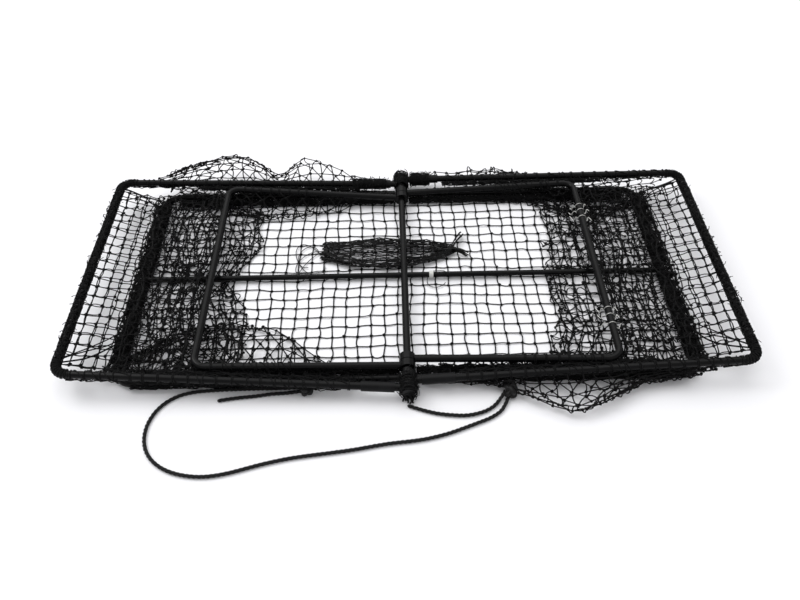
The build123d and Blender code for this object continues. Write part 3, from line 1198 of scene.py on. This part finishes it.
@dataclass
class SideNet:
    """Triangular side wall between a long rod and an outer hoop's arm, in a net hung on the diamond."""

    side: Side
    end: End
    fall: Fall
    bulge: tuple[tuple[float, float], ...]
    crest_lift: float = 0.0
    first_cell: int = 3
    counted_share: float = 0.42

    @property
    def word(self) -> str:
        """Name of the quarter of the trap."""
        return f"{self.end.word}_{self.side.word}"

    def build(self) -> bpy.types.Object:
        """Make the side net.

        Returns:
            Its mesh object.
        """
        outer = outer_hoop(self.side)
        step = MESH_SIDE / math.sqrt(2)
        cells = int(FRAME_RODS.half_length / step)
        nodes = [(i, k) for i in range(self.first_cell, cells + 1) for k in range(0, i + 1)
                 if (i + k) % 2 == 0 and i * step + 0.2 * k * step <= FRAME_RODS.half_length]
        index = {node: number for number, node in enumerate(nodes)}
        bars = [(index[i, k], index[i + 1, k + turn]) for i, k in nodes for turn in (-1, 1)
                if (i + 1, k + turn) in index]
        grid = np.array(nodes, float) * step
        radius = np.hypot(grid[:, 0], grid[:, 1])
        share = np.clip(np.arctan2(grid[:, 1], grid[:, 0]) / math.radians(45), 0, 1)
        marks, depths = np.array(self.bulge).T
        crest = np.sin(np.pi * share)
        depth = np.interp(radius, marks, depths) * crest
        arm_y = np.abs(outer.arm_y(self.end, radius))
        y = self.end.value * (FRAME_RODS.half_width + (arm_y - FRAME_RODS.half_width) * share
                              + self.fall.value * depth)
        arm_z = outer.point(radius, 0.0)[:, 2]
        if self.fall is Fall.OUTWARD:
            z = FRAME_RODS.height + (arm_z - FRAME_RODS.height) * share
            z += (self.crest_lift * np.minimum(depth / 40, 1) - 4) * crest
        else:
            z = 3.5 + (arm_z - 3.5) * share ** 4 + 3.5 * (1 - share) ** 6
        turn = share * math.radians(FOLDED_TILT)
        x = self.side.value * radius * np.cos(turn)
        held = (share < 1e-6) | (share > 1 - 1e-6)
        net = Net(np.stack([x, y, z], axis=-1), np.array(bars), share.copy(),
                  seed=500 + 10 * self.side.value + self.end.value)
        calm = 0.45 if self.fall is Fall.OUTWARD else 1.4
        net.disturb((2.2 * calm, 2.2 * calm, 1.2), held)
        net.settle(held, steps=1, drop=0.2, floor=1.2)
        made = net.strands(flatness=0.4, slack=0.55 if self.fall is Fall.OUTWARD else 1.0)
        piece = made.piece(f"side_wall_net_{self.word}", NET_TWINE, "black_net",
                           (FLOOR_BODY, self.side.outer_body))
        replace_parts(piece, f"side_net_{self.word}")
        return piece


@dataclass
class GussetNet:
    """Side wall between an outer and an inner hoop's arms, folded into the narrow gap between them."""

    side: Side
    end: End
    swag: tuple[tuple[float, float], ...] = ((60, 0), (420, 0))
    sag: float = 5.0
    first_radius: float = 40.0

    def build(self) -> bpy.types.Object:
        """Make the gusset net.

        Returns:
            Its mesh object.
        """
        outer, inner = outer_hoop(self.side), inner_hoop(self.side)
        step = MESH_SIDE / math.sqrt(2)
        roof = [(i, k) for i in range(1, 25) for k in range(i, 25) if (i + k) % 2 == 0
                and k * step <= 270 + 0.143 * (i * step - 23.6)
                and math.hypot(i, k) * step >= self.first_radius]
        index = {node: number for number, node in enumerate(roof)}
        bars = [(index[i, k], index[i + 1, k + turn]) for i, k in roof for turn in (-1, 1)
                if (i + 1, k + turn) in index]
        grid = np.array(roof, float) * step
        radius = np.hypot(grid[:, 0], grid[:, 1])
        share = np.clip((np.degrees(np.arctan2(grid[:, 1], grid[:, 0])) - 45) / INNER_SWING, 0, 1)
        near, far = outer.arm_y(self.end, radius), inner.arm_y(self.end, radius)
        marks, depths = np.array(self.swag).T
        loop = np.sin(np.pi * share) * np.interp(radius, marks, depths)
        y = near + (far - near) * share + self.end.value * loop
        sag = np.where(loop < 0, 0.55 * np.abs(loop), 0) + self.sag
        places = outer.point(radius, y, -sag * np.sin(np.pi * share))
        places[:, 2] = np.maximum(places[:, 2], 5.0)
        held = (share < 1e-6) | (share > 1 - 1e-6)
        net = Net(places, np.array(bars), share.copy(), seed=600 + 10 * self.side.value + self.end.value)
        net.disturb((1.5, 2.5, 1.5), held)
        made = net.strands(flatness=0.8)
        return made.piece(f"gusset_net_{self.end.word}_{self.side.word}", NET_TWINE, "black_net",
                          (self.side.outer_body, self.side.inner_body))


# Lashings, bag, rope and small parts


def lash_seams() -> None:
    """Lash the net along the long rods and along the arms of the hoops."""
    z = FRAME_RODS.height
    length = FRAME_RODS.half_length - 33.0
    bare = [(length - 20, length + 20), (length - 140, length - 116), (length + 116, length + 140)]
    for end in End:
        seam = Seam(f"floor_seam_{end.word}", (FLOOR_BODY,), seed=31)
        made = Strands()
        y = end.value * FRAME_RODS.half_width
        seam.lash(made, np.array((-length, y, z)), np.array((length, y, z)), bare)
        inside = (math.pi - 0.5, math.pi + 0.9) if end is End.FRONT else (-0.9, 0.5)
        for first, last in ((-352.0, -143.0), (-113.0, -22.0), (22.0, 113.0), (143.0, 352.0)):
            selvedge(made, np.array((first, y, z)), np.array((last, y, z)), FRAME_RODS.rod, *inside,
                     strands=9, seed=int(400 + first) + end.value)
        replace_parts(made.piece(seam.name, LASHING_TWINE, "black_twine", seam.bodies), f"base_seam_{end.word}")
    for side in Side:
        for word, hoop, body, first, last, pitch in (
                ("outer", outer_hoop(side), side.outer_body, 66.0, 424.0, MESH_SIDE),
                ("inner", inner_hoop(side), side.inner_body, 143.0, 257.0, 14.0)):
            seam = Seam(f"{word}_lashing_{side.word}", (body,), pitch=pitch, seed=37)
            made = Strands()
            for end in End:
                seam.lash(made, *hoop.arm(end, first, last))
                if word == "outer":
                    selvedge(made, *hoop.arm(end, 84.0, 424.0), FRAME_RODS.rod, -2.4, -0.7, strands=7,
                             seed=900 + 3 * side.value + end.value)
                    wind_corner(made, hoop, end)
            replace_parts(made.piece(seam.name, LASHING_TWINE, "black_twine", seam.bodies),
                        f"{word}_seam_{side.word}")


def wind_corner(made: Strands, hoop: HoopLine, end: End) -> None:
    """Wind twine round the corner between a hoop's arm and its end rod.

    Args:
        made: The strands that it is added to.
        hoop: The hoop's line.
        end: Front or rear corner.
    """
    bend = HOOP_CORNER
    centre = hoop.point(hoop.reach - bend, end.value * (hoop.half_width - bend))
    out = unit(hoop.point(1.0, 0.0) - hoop.point(0.0, 0.0))
    corner_turns(made, centre, out, np.array((0.0, float(end.value), 0.0)), bend, FRAME_RODS.rod,
                 seed=950 + 3 * hoop.side.value + end.value)


def gather_hems() -> None:
    """Gather the net's edges round the end rods of the floor frame and of the outer hoops."""
    for side in Side:
        made = Strands()
        hem = Hem(half_depth=10.5, half_height=6.9, strands=30, stray=170, stray_reach=7.0, lash_pitch=12.0)
        for end in End:
            start, stop = (np.array((side.value * FRAME_RODS.half_length, end.value * y, FRAME_RODS.height))
                           for y in (6.0, 157.0))
            hem.bunch(made, start, stop)
        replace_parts(made.piece(f"floor_hem_{side.word}", LASHING_TWINE, "black_net", (FLOOR_BODY,)),
                    f"base_hem_{side.word}")
        made = Strands()
        Hem(half_depth=7.3, half_height=7.1, seed=23).bunch(made, *outer_hoop(side).end_rod(171.0))
        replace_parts(made.piece(f"top_hem_{side.word}", LASHING_TWINE, "black_net", (side.outer_body,)),
                    f"outer_hem_{side.word}")


def sew_corners() -> None:
    """Lay the thick seams between the end walls and the side walls, loose across the gap at each end."""
    share = np.linspace(0, 1, 26)
    for side in Side:
        outer = outer_hoop(side)
        made = Strands()
        for end, foot_y in ((End.FRONT, 118.0), (End.REAR, 150.0)):
            for strand in range(3):
                foot = np.array((side.value * 377.0, end.value * (foot_y - 16 * strand), 13.0))
                tip = outer.point(outer.reach - 4, end.value * (170.0 - 6 * strand))
                bow = (-15.0 - 4 * strand) * np.sin(np.pi * share)
                line = foot + (tip - foot) * share[:, None]
                line[:, 0] += side.value * bow + 1.6 * np.sin(9 * share + strand)
                line[:, 1] += 3.0 * np.sin(7 * share + 2 * strand)
                line[:, 2] += 1.5 * np.sin(np.pi * share)
                made.tube(line, 1.1 if strand == 0 else 0.85, 5, share.copy())
        made.piece(f"corner_seam_{side.word}", LASHING_TWINE, "black_twine", (FLOOR_BODY, side.outer_body))


def bunch_side_nets() -> None:
    """Bunch the slack of the side walls along the long rods, between them and the folded hoops."""
    for end in End:
        made = Strands()
        low = Hem(half_depth=9.5, half_height=4.6, rod=0.3, strands=40, stray=150, stray_reach=5.0,
                  lash_pitch=70.0, seed=71)
        for first, last in ((-352.0, -12.0), (12.0, 352.0)):
            y = end.value * (FRAME_RODS.half_width - 14.0)
            low.bunch(made, np.array((first, y, 5.8)), np.array((last, y, 5.8)))
        made.piece(f"side_bunch_{end.word}", LASHING_TWINE, "black_net", (FLOOR_BODY,))
        for side in Side:
            outer = outer_hoop(side)
            made = Strands()
            start, stop = (outer.point(radius, outer.arm_y(end, radius) - end.value * 9.5, -3.0)
                           for radius in (66.0, 318.0))
            Hem(half_depth=5.4, half_height=4.0, rod=0.3, strands=16, stray=70, stray_reach=5.0,
                lash_pitch=50.0, seed=77).bunch(made, start, stop)
            made.piece(f"arm_bunch_{end.word}_{side.word}", LASHING_TWINE, "black_net", (side.outer_body,))


def wrap_sleeves() -> None:
    """Wind net and twine over the rear sleeves, beside the axle."""
    for side, first, last, depth in ((Side.LEFT, 24.0, 78.0, 9.0), (Side.RIGHT, 14.0, 46.0, 11.5)):
        made = Strands()
        Hem(half_depth=depth, half_height=depth, rod=6.7, strands=18, stray=46, lash_pitch=3.2,
            seed=51).bunch(made, *outer_hoop(side).arm(End.REAR, first, last))
        made.piece(f"sleeve_wrap_{side.word}", LASHING_TWINE, "black_twine", (side.outer_body,))
    for end, first, last, depth in ((End.FRONT, 186.0, 214.0, 12.1), (End.REAR, 186.0, 215.0, 12.4)):
        made = Strands()
        start, stop = (np.array((0.0, end.value * y, 17.3)) for y in (first, last))
        Hem(half_depth=depth, half_height=12.0, rod=10.7, strands=12, stray=36, stray_reach=3.5,
            lash_pitch=4.5, seed=61).bunch(made, start, stop)
        made.piece(f"axle_wrap_{end.word}", LASHING_TWINE, "black_twine", (FLOOR_BODY,))


@dataclass
class BaitBag:
    """Bait bag of glossy net, lying gathered beside the brace bar."""

    centre_x: float = -23.0
    centre_y: float = 49.0
    half_length: float = 96.0
    half_width: float = 29.0
    base: float = 3.0
    height: float = 8.4
    rings: int = 13
    around: int = 30
    seed: int = 71

    def _outline(self, place: np.ndarray) -> tuple[np.ndarray, np.ndarray]:
        """Middle and half width of the bag at places from -1 to 1 along it.

        Args:
            place: Places along the bag.

        Returns:
            Middle and half width at each.
        """
        middle = self.centre_y + 5 - 8 * (1 - place ** 2)
        taper = np.where(place < 0, 0.48 * np.abs(place) ** 1.8, 0.76 * np.abs(place) ** 2.0)
        return middle, self.half_width * (1 - taper)

    def build(self) -> bpy.types.Object:
        """Make the bag with its necks, tie tails and wire loops.

        Returns:
            Its mesh object.
        """
        draw = np.random.default_rng(self.seed)
        place = -1 + 2 * np.linspace(0, 1, self.rings) ** 1.2
        turn = (np.arange(self.around)[None] + 0.5 * (np.arange(self.rings)[:, None] % 2)) / self.around
        angle = 2 * np.pi * turn
        middle, width = (values[:, None] for values in self._outline(place))
        flat = np.abs(np.cos(angle)) ** 0.8 * np.sign(np.cos(angle))
        tall = self.height * (0.55 + 0.45 * (1 - np.abs(place[:, None]) ** 2))
        x = self.centre_x + self.half_length * place[:, None] + 0 * angle
        places = np.stack([x, middle + width * flat, self.base + tall * (0.5 + 0.5 * np.sin(angle))], axis=-1)
        places += draw.normal(0, 1, places.shape) * (4.0, 1.6, 0.9)
        index = np.arange(self.rings * self.around).reshape(self.rings, self.around)
        bars = []
        for ring in range(self.rings - 1):
            other = np.roll(index[ring + 1], -1 if ring % 2 else 1)
            bars += [np.stack([index[ring], index[ring + 1]], axis=1), np.stack([index[ring], other], axis=1)]
        net = Net(places.reshape(-1, 3), np.concatenate(bars), np.zeros(places.shape[:2]).ravel(),
                  self.seed, twine=0.8, knot=1.3)
        made = net.strands(flatness=0.3, slack=0.25)
        self._tie(made, draw)
        piece = made.piece("bait_bag_net", BAG_TWINE, "bag_net", (FLOOR_BODY,))
        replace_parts(piece, "bait_bag")
        return piece

    def _tie(self, made: Strands, draw: np.random.Generator) -> None:
        """Add the gathered necks, the tie tails on the right and the loops on the left.

        Args:
            made: The strands that they are added to.
            draw: Source of the unevenness.
        """
        neck = np.linspace(0, 1, 40)
        for x, y in ((self.centre_x - self.half_length + 4, 50.0),
                     (self.centre_x + self.half_length - 4, 52.0)):
            turn = 2 * np.pi * 4 * neck
            wound = np.stack([x + 6 * (neck - 0.5), y + 6.5 * np.cos(turn), 6.2 + 3.8 * np.sin(turn)], axis=-1)
            made.tube(wound, 0.85, 5)
        right = self.centre_x + self.half_length - 2
        share = np.linspace(0, 1, 14)
        for tip_x, tip_y in ((89.0, 84.0), (94.0, 43.0)):
            for strand in range(9):
                spread = 3.0 * np.cos(0.7 * strand) * (0.5 + 0.5 * share) + draw.normal(0, 0.5)
                made.tube(np.stack([right + (tip_x - right) * share + spread,
                                    52 + (tip_y + draw.normal(0, 2) - 52) * share ** 0.9,
                                    5.5 + 3.5 * np.sin(np.pi * share) + 2.6 * np.sin(0.7 * strand)], axis=-1),
                          0.95, 5)
        for x, y, wide, deep, lean, arc in DRAW_LOOPS:
            turn = np.linspace(0.3, 0.3 + arc, 60)
            loop_y = y + deep * np.sin(turn)
            loop_x = x + wide * np.cos(turn) + lean * (loop_y - y)
            over_bar = 9.6 * np.exp(-(loop_y / 8.5) ** 2)
            made.tube(np.stack([loop_x, loop_y, 2.4 + over_bar], axis=-1), 0.6, 5)


@dataclass
class Rope:
    """Three-strand rope that lies free on the ground, along a smooth line."""

    name: str
    node: str
    route: tuple[tuple[float, float, float], ...]
    length: float
    far_end: str
    radius: float = 2.5
    lay: float = 17.0
    step: float = 2.0

    def centreline(self) -> np.ndarray:
        """Even points along the rope's smooth line.

        Returns:
            Array (points, 3).
        """
        curve = bpy.data.curves.new(f"{self.name}_line", "CURVE")
        curve.dimensions = "3D"
        spline = curve.splines.new("NURBS")
        spline.points.add(len(self.route) - 1)
        for point, place in zip(spline.points, self.route):
            point.co = (*place, 1.0)
        spline.order_u = 3
        spline.use_endpoint_u = True
        spline.resolution_u = 16
        holder = bpy.data.objects.new(curve.name, curve)
        bpy.context.scene.collection.objects.link(holder)
        line_mesh = bpy.data.meshes.new_from_object(holder)
        line = np.array([vertex.co for vertex in line_mesh.vertices])
        bpy.data.objects.remove(holder)
        bpy.data.meshes.remove(line_mesh)
        run = np.concatenate([[0], np.cumsum(np.linalg.norm(np.diff(line, axis=0), axis=1))])
        even = np.linspace(0, run[-1], int(run[-1] / self.step) + 1)
        return np.stack([np.interp(even, run, line[:, axis]) for axis in range(3)], axis=-1)

    def build(self) -> bpy.types.Object:
        """Returns:
            Its mesh object.
        """
        line = self.centreline()
        tangent = unit(np.gradient(line, axis=0))
        side = unit(np.cross(tangent, (0.0, 0.0, 1.0)))
        rise = np.cross(side, tangent)
        run = np.concatenate([[0], np.cumsum(np.linalg.norm(np.diff(line, axis=0), axis=1))])
        offset, strand = 0.535 * self.radius, 0.465 * self.radius
        made = Strands()
        for start in range(3):
            turn = 2 * np.pi * (run / self.lay + start / 3)
            out = side * np.cos(turn)[:, None] + rise * np.sin(turn)[:, None]
            made.tube(line + offset * out, strand, 7)
        if self.far_end == "bare":
            made.knots(line[-1:], 1.9, np.random.default_rng(len(self.route)))
        piece = made.piece(self.name, ROPE_YARN, "black_rope", (FLOOR_BODY,))
        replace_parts(piece, self.node)
        return piece


BRIDLE = Rope("rope_bridle_laid", "rope_bridle", (
    (-129, -190.8, 4.0), (-160, -191.6, 2.6), (-206, -191.0, 2.6), (-248, -192.2, 2.6),
    (-279, -195.0, 2.6), (-300, -205, 2.6), (-314, -221, 2.6), (-321, -242, 2.6),
    (-320, -265, 2.6), (-310, -286, 2.6), (-291, -302, 2.6), (-267, -311, 2.6),
    (-239, -314, 2.6), (-210, -309, 2.6), (-177, -299, 2.6), (-141, -291, 2.6),
    (-103, -286.5, 2.6), (-66, -282, 2.6), (-27, -274.5, 2.6), (14, -271, 2.6),
    (47, -263, 2.6), (76, -251.5, 2.6), (103, -241, 2.6), (120, -227, 2.6), (127, -207, 4.5),
), 733.9, "object")
TAIL_LEFT = Rope("rope_tail_left_laid", "rope_tail_left", (
    (-131, -197.4, 5.0), (-150, -198.8, 2.6), (-172, -199.5, 2.6), (-195, -203, 2.6),
    (-217, -204.5, 2.6), (-238, -208, 2.6),
), 107.7, "bare")
TAIL_RIGHT = Rope("rope_tail_right_laid", "rope_tail_right", (
    (122, -205.5, 7.5), (112, -220, 2.8), (97, -231.5, 2.6), (74, -238, 2.6), (50, -236.5, 2.6),
    (25, -232, 2.6), (0.5, -222, 2.6),
), 136.2, "bare")


@dataclass
class RopeKnot:
    """Rope tied to the front long rod: turns round the rod and overhand knots in front of it."""

    side: Side
    x: float
    knot_middles: tuple[float, ...]
    lift: float = 0.0
    strand: float = 0.95
    bulk: float = 3.1
    size: float = 2.1

    def build(self) -> bpy.types.Object:
        """Make the knot.

        Returns:
            Its mesh object.
        """
        made = Strands()
        y, z = -FRAME_RODS.half_width, FRAME_RODS.height
        ring = FRAME_RODS.rod + self.strand
        share = np.linspace(0, 1, 90)
        for first in (-6.0, -5.0):
            turn = 2 * np.pi * 5 * share + first
            wound = (self.x + first + 11 * share, y + ring * np.cos(turn), z + ring * np.sin(turn))
            made.tube(np.stack(wound, axis=-1), self.strand, 6)
        turn = np.linspace(0, 2 * np.pi, 64)
        for number, middle in enumerate(self.knot_middles):
            lean = 0.6 + 1.3 * number
            flat_x = self.size * (np.sin(turn) + 2 * np.sin(2 * turn))
            flat_z = self.size * (np.cos(turn) - 2 * np.cos(2 * turn))
            deep = self.size * 1.7 * -np.sin(3 * turn)
            x = self.x + flat_x * math.cos(lean) - flat_z * math.sin(lean)
            height = z + self.lift + flat_x * math.sin(lean) + flat_z * math.cos(lean)
            made.tube(np.stack([x, middle + deep, height], axis=-1), self.bulk, 8)
        tail = np.linspace(0, 1, 10)
        made.tube(np.stack([self.x + 2 * tail, y - 5 + (self.knot_middles[-1] - y + 5) * tail, z + 0 * tail],
                           axis=-1), self.bulk, 8)
        piece = made.piece(f"rope_knot_{self.side.word}", ROPE_YARN, "black_rope", (FLOOR_BODY,))
        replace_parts(piece, f"knot_{self.side.word}")
        return piece


@dataclass
class DoorTie:
    """Thin curly wires hooked over the right inner hoop's end rod."""

    end: End
    wire: float = 0.55
    curls: tuple[float, ...] = (-14.0, 1.0, 13.0)

    def build(self) -> bpy.types.Object:
        """Make each wire: a hook over the rod and a curl at both ends.

        Returns:
            Its mesh object.
        """
        hoop = inner_hoop(Side.RIGHT)
        draw = np.random.default_rng(81 + self.end.value)
        made = Strands()
        ring = FRAME_RODS.rod + self.wire
        share = np.linspace(0, 1, 48)
        for place in self.curls:
            middle = hoop.point(hoop.reach, self.end.value * 105.0 + place)
            over = np.pi * (1.15 - 1.3 * np.clip((share - 0.3) / 0.4, 0, 1))
            reach = draw.uniform(8, 13)
            inward = np.clip((0.3 - share) / 0.3, 0, 1)
            outward = np.clip((share - 0.7) / 0.3, 0, 1)
            curl = 2 * np.pi * draw.uniform(0.8, 1.3)
            x = middle[0] + ring * np.cos(over) - reach * inward + 0.7 * reach * outward
            y = middle[1] + 4.0 * np.sin(curl * (inward - outward)) + draw.uniform(-4, 4) * (share - 0.5)
            z = middle[2] + ring * np.sin(over) + 1.5 * (inward + outward)
            made.tube(np.stack([x, y, z], axis=-1), self.wire, 6)
        piece = made.piece(f"wire_tie_{self.end.word}", TIE_WIRE, "tie_wire", (Side.RIGHT.inner_body,))
        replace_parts(piece, f"door_tie_{self.end.word}")
        return piece


def hang_front_lashing() -> bpy.types.Object:
    """Hang the doubled cord ends in front of the axle's head.

    Returns:
        Its mesh object.
    """
    draw = np.random.default_rng(91)
    made = Strands()
    share = np.linspace(0, 1, 16)
    for strand in range(9):
        foot_x, foot_y = draw.uniform(-8, 8), draw.uniform(-220, -213)
        lead = draw.uniform(-3, 3)
        x = lead + (foot_x - lead) * share + 2.5 * np.sin(2 * np.pi * share + strand)
        y = -205 + (foot_y + 205) * share ** 0.8
        z = 20 * (1 - share) ** 1.4 + 2.2 + 4 * np.sin(np.pi * share)
        made.tube(np.stack([x, y, z], axis=-1), 1.1, 5)
    turn = 2 * np.pi * 4 * np.linspace(0, 1, 60)
    made.tube(np.stack([6.5 * np.cos(turn), -213 + 5 * np.linspace(0, 1, 60), 11 + 6.0 * np.sin(turn)],
                       axis=-1), 1.1, 5)
    return made.piece("axle_lashing", LASHING_TWINE, "black_twine", (FLOOR_BODY,))


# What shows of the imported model


def dress_cad_nodes() -> None:
    """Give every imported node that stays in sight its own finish."""
    finishes = {"sleeve_": SLEEVE_PLASTIC, "bag_clip": CLIP_PLASTIC}
    for name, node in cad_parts.items():
        if node.hide_render:
            continue
        finish = next((found for word, found in finishes.items() if name.startswith(word)), ROD_COAT)
        for slot in node.material_slots:
            slot.material = finish.material()


# Room round the trap


@dataclass(frozen=True)
class Studio:
    """White floor, soft light from above and the camera in front of the trap."""

    lens: float = 32.56
    location: tuple[float, float, float] = (-0.0170, -0.7254, 0.7594)
    yaw: float = 0.84
    pitch: float = 48.02
    roll: float = -0.53
    floor_size: float = 30.0
    sky_strength: float = 0.62
    sun_strength: float = 1.5
    sun_spread: float = 70.0
    softbox_power: float = 14.0
    sensor_width: float = 36.0

    def build(self) -> None:
        """Set up the floor, the lights and the camera."""
        self._floor()
        self._lights()
        self._camera()
        view = bpy.context.scene.view_settings
        view.view_transform = "Standard"
        view.look = "None"

    def _floor(self) -> None:
        """Add the plain white floor."""
        bpy.ops.object.select_all(action="DESELECT")
        bpy.ops.mesh.primitive_plane_add(size=self.floor_size, location=(0, 0, 0))
        floor = bpy.context.active_object
        floor.name = "studio_floor"
        paper = blank_material("studio_paper")
        shader = paper.node_tree.nodes["Principled BSDF"]
        shader.inputs["Base Color"].default_value = (0.92, 0.92, 0.945, 1.0)
        shader.inputs["Roughness"].default_value = 0.9
        floor.data.materials.append(paper)

    def _lights(self) -> None:
        """Add an even sky, a wide soft light from above and a softbox on the left."""
        world = bpy.data.worlds.new("studio_sky")
        world.use_nodes = True
        sky = world.node_tree.nodes["Background"]
        sky.inputs["Color"].default_value = (1.0, 1.0, 1.0, 1.0)
        sky.inputs["Strength"].default_value = self.sky_strength
        bpy.context.scene.world = world
        above = bpy.data.lights.new("top_light", "SUN")
        above.energy = self.sun_strength
        above.angle = math.radians(self.sun_spread)
        softbox = bpy.data.lights.new("left_light", "AREA")
        softbox.energy = self.softbox_power
        softbox.size = 1.0
        for light, place in ((above, (-0.3, 0.9, 2.0)), (softbox, (-1.6, 0.6, 1.8))):
            lamp = bpy.data.objects.new(light.name, light)
            lamp.location = place
            lamp.rotation_euler = (-Vector(place)).to_track_quat("-Z", "Y").to_euler()
            bpy.context.scene.collection.objects.link(lamp)

    def _camera(self) -> None:
        """Add the camera at its fitted place, turned by its yaw, pitch and roll."""
        yaw, pitch, roll = (math.radians(angle) for angle in (self.yaw, self.pitch, self.roll))
        forward = Vector((math.sin(yaw) * math.cos(pitch), math.cos(yaw) * math.cos(pitch),
                          -math.sin(pitch)))
        right = Vector((math.cos(yaw), -math.sin(yaw), 0.0))
        up = right.cross(forward)
        rolled_right = right * math.cos(roll) + up * math.sin(roll)
        rolled_up = up * math.cos(roll) - right * math.sin(roll)
        turn = Matrix((rolled_right, rolled_up, -forward)).transposed().to_4x4()
        data = bpy.data.cameras.new("studio_camera")
        data.lens = self.lens
        data.sensor_width = self.sensor_width
        camera = bpy.data.objects.new("studio_camera", data)
        camera.matrix_world = Matrix.Translation(self.location) @ turn
        bpy.context.scene.collection.objects.link(camera)
        bpy.context.scene.camera = camera


FUNNEL_MOUTHS = {
    Side.LEFT: ((-164, 225), (-80, 228), (-34, 231), (3, 239), (63, 230), (145, 217), (164, 212)),
    Side.RIGHT: ((-164, 182), (-133, 194), (-80, 218), (-42, 210), (40, 215), (114, 219), (164, 214)),
}
SIDE_BULGES = (
    (Side.LEFT, End.REAR, Fall.OUTWARD, 22.0,
     ((35, 11), (99, 32), (130, 50), (158, 60), (180, 38), (196, 14), (225, 46), (256, 62), (284, 64),
      (329, 45), (398, 15), (420, 9))),
    (Side.RIGHT, End.FRONT, Fall.OUTWARD, 0.0,
     ((60, 4), (120, 14), (160, 36), (203, 58), (245, 44), (290, 18), (360, 8), (420, 4))),
    (Side.LEFT, End.FRONT, Fall.INWARD, 0.0,
     ((60, 18), (74, 24), (136, 58), (169, 98), (200, 102), (240, 104), (300, 94), (360, 50), (420, 10))),
    (Side.RIGHT, End.REAR, Fall.INWARD, 0.0,
     ((60, 5), (120, 12), (204, 28), (260, 60), (300, 70), (360, 40), (420, 10))),
)

DRAW_LOOPS = (
    (-138.0, 38.0, 19.0, 34.0, -0.35, 5.6),
    (-134.0, 30.0, 23.0, 27.0, 0.3, 5.2),
    (-141.0, 45.0, 15.0, 22.0, 0.1, 4.6),
    (-133.0, 24.0, 15.0, 32.0, 0.5, 5.0),
    (47.0, -8.0, 14.0, 13.0, 0.2, 5.6),
)
GUSSET_SWAGS = {
    (Side.LEFT, End.REAR): ((60, -4), (100, -34), (160, -46), (220, -52), (300, -20), (420, 0)),
    (Side.RIGHT, End.REAR): ((30, 34), (110, 36), (190, 30), (240, -20), (300, -20), (420, 0)),
    (Side.LEFT, End.FRONT): ((60, -10), (160, -26), (300, -12), (420, 0)),
    (Side.RIGHT, End.FRONT): ((60, -6), (160, -14), (260, -20), (420, 0)),
}


def main() -> None:
    """Build the room, the nets, the lashings, the rope and the small parts, in that order."""
    logging.basicConfig(level=logging.INFO, format="%(name)s: %(message)s")
    Studio().build()
    for rope in (BRIDLE, TAIL_LEFT, TAIL_RIGHT):
        rope.build()
    RopeKnot(Side.LEFT, -128.0, (-195.0, -199.0), lift=1.8).build()
    RopeKnot(Side.RIGHT, 128.0, (-197.0, -204.0, -209.0), lift=2.0).build()
    FloorNet().build()
    for side in Side:
        RoofNet(side).build()
        EndNet(side).build()
        Funnel(side, FUNNEL_MOUTHS[side]).build()
        for end in End:
            GussetNet(side, end, GUSSET_SWAGS[side, end]).build()
    for side, end, fall, lift, bulge in SIDE_BULGES:
        SideNet(side, end, fall, bulge, lift).build()
    lash_seams()
    gather_hems()
    sew_corners()
    bunch_side_nets()
    wrap_sleeves()
    BaitBag().build()
    for end in End:
        DoorTie(end).build()
    hang_front_lashing()
    dress_cad_nodes()


if __name__ == "__main__":
    main()
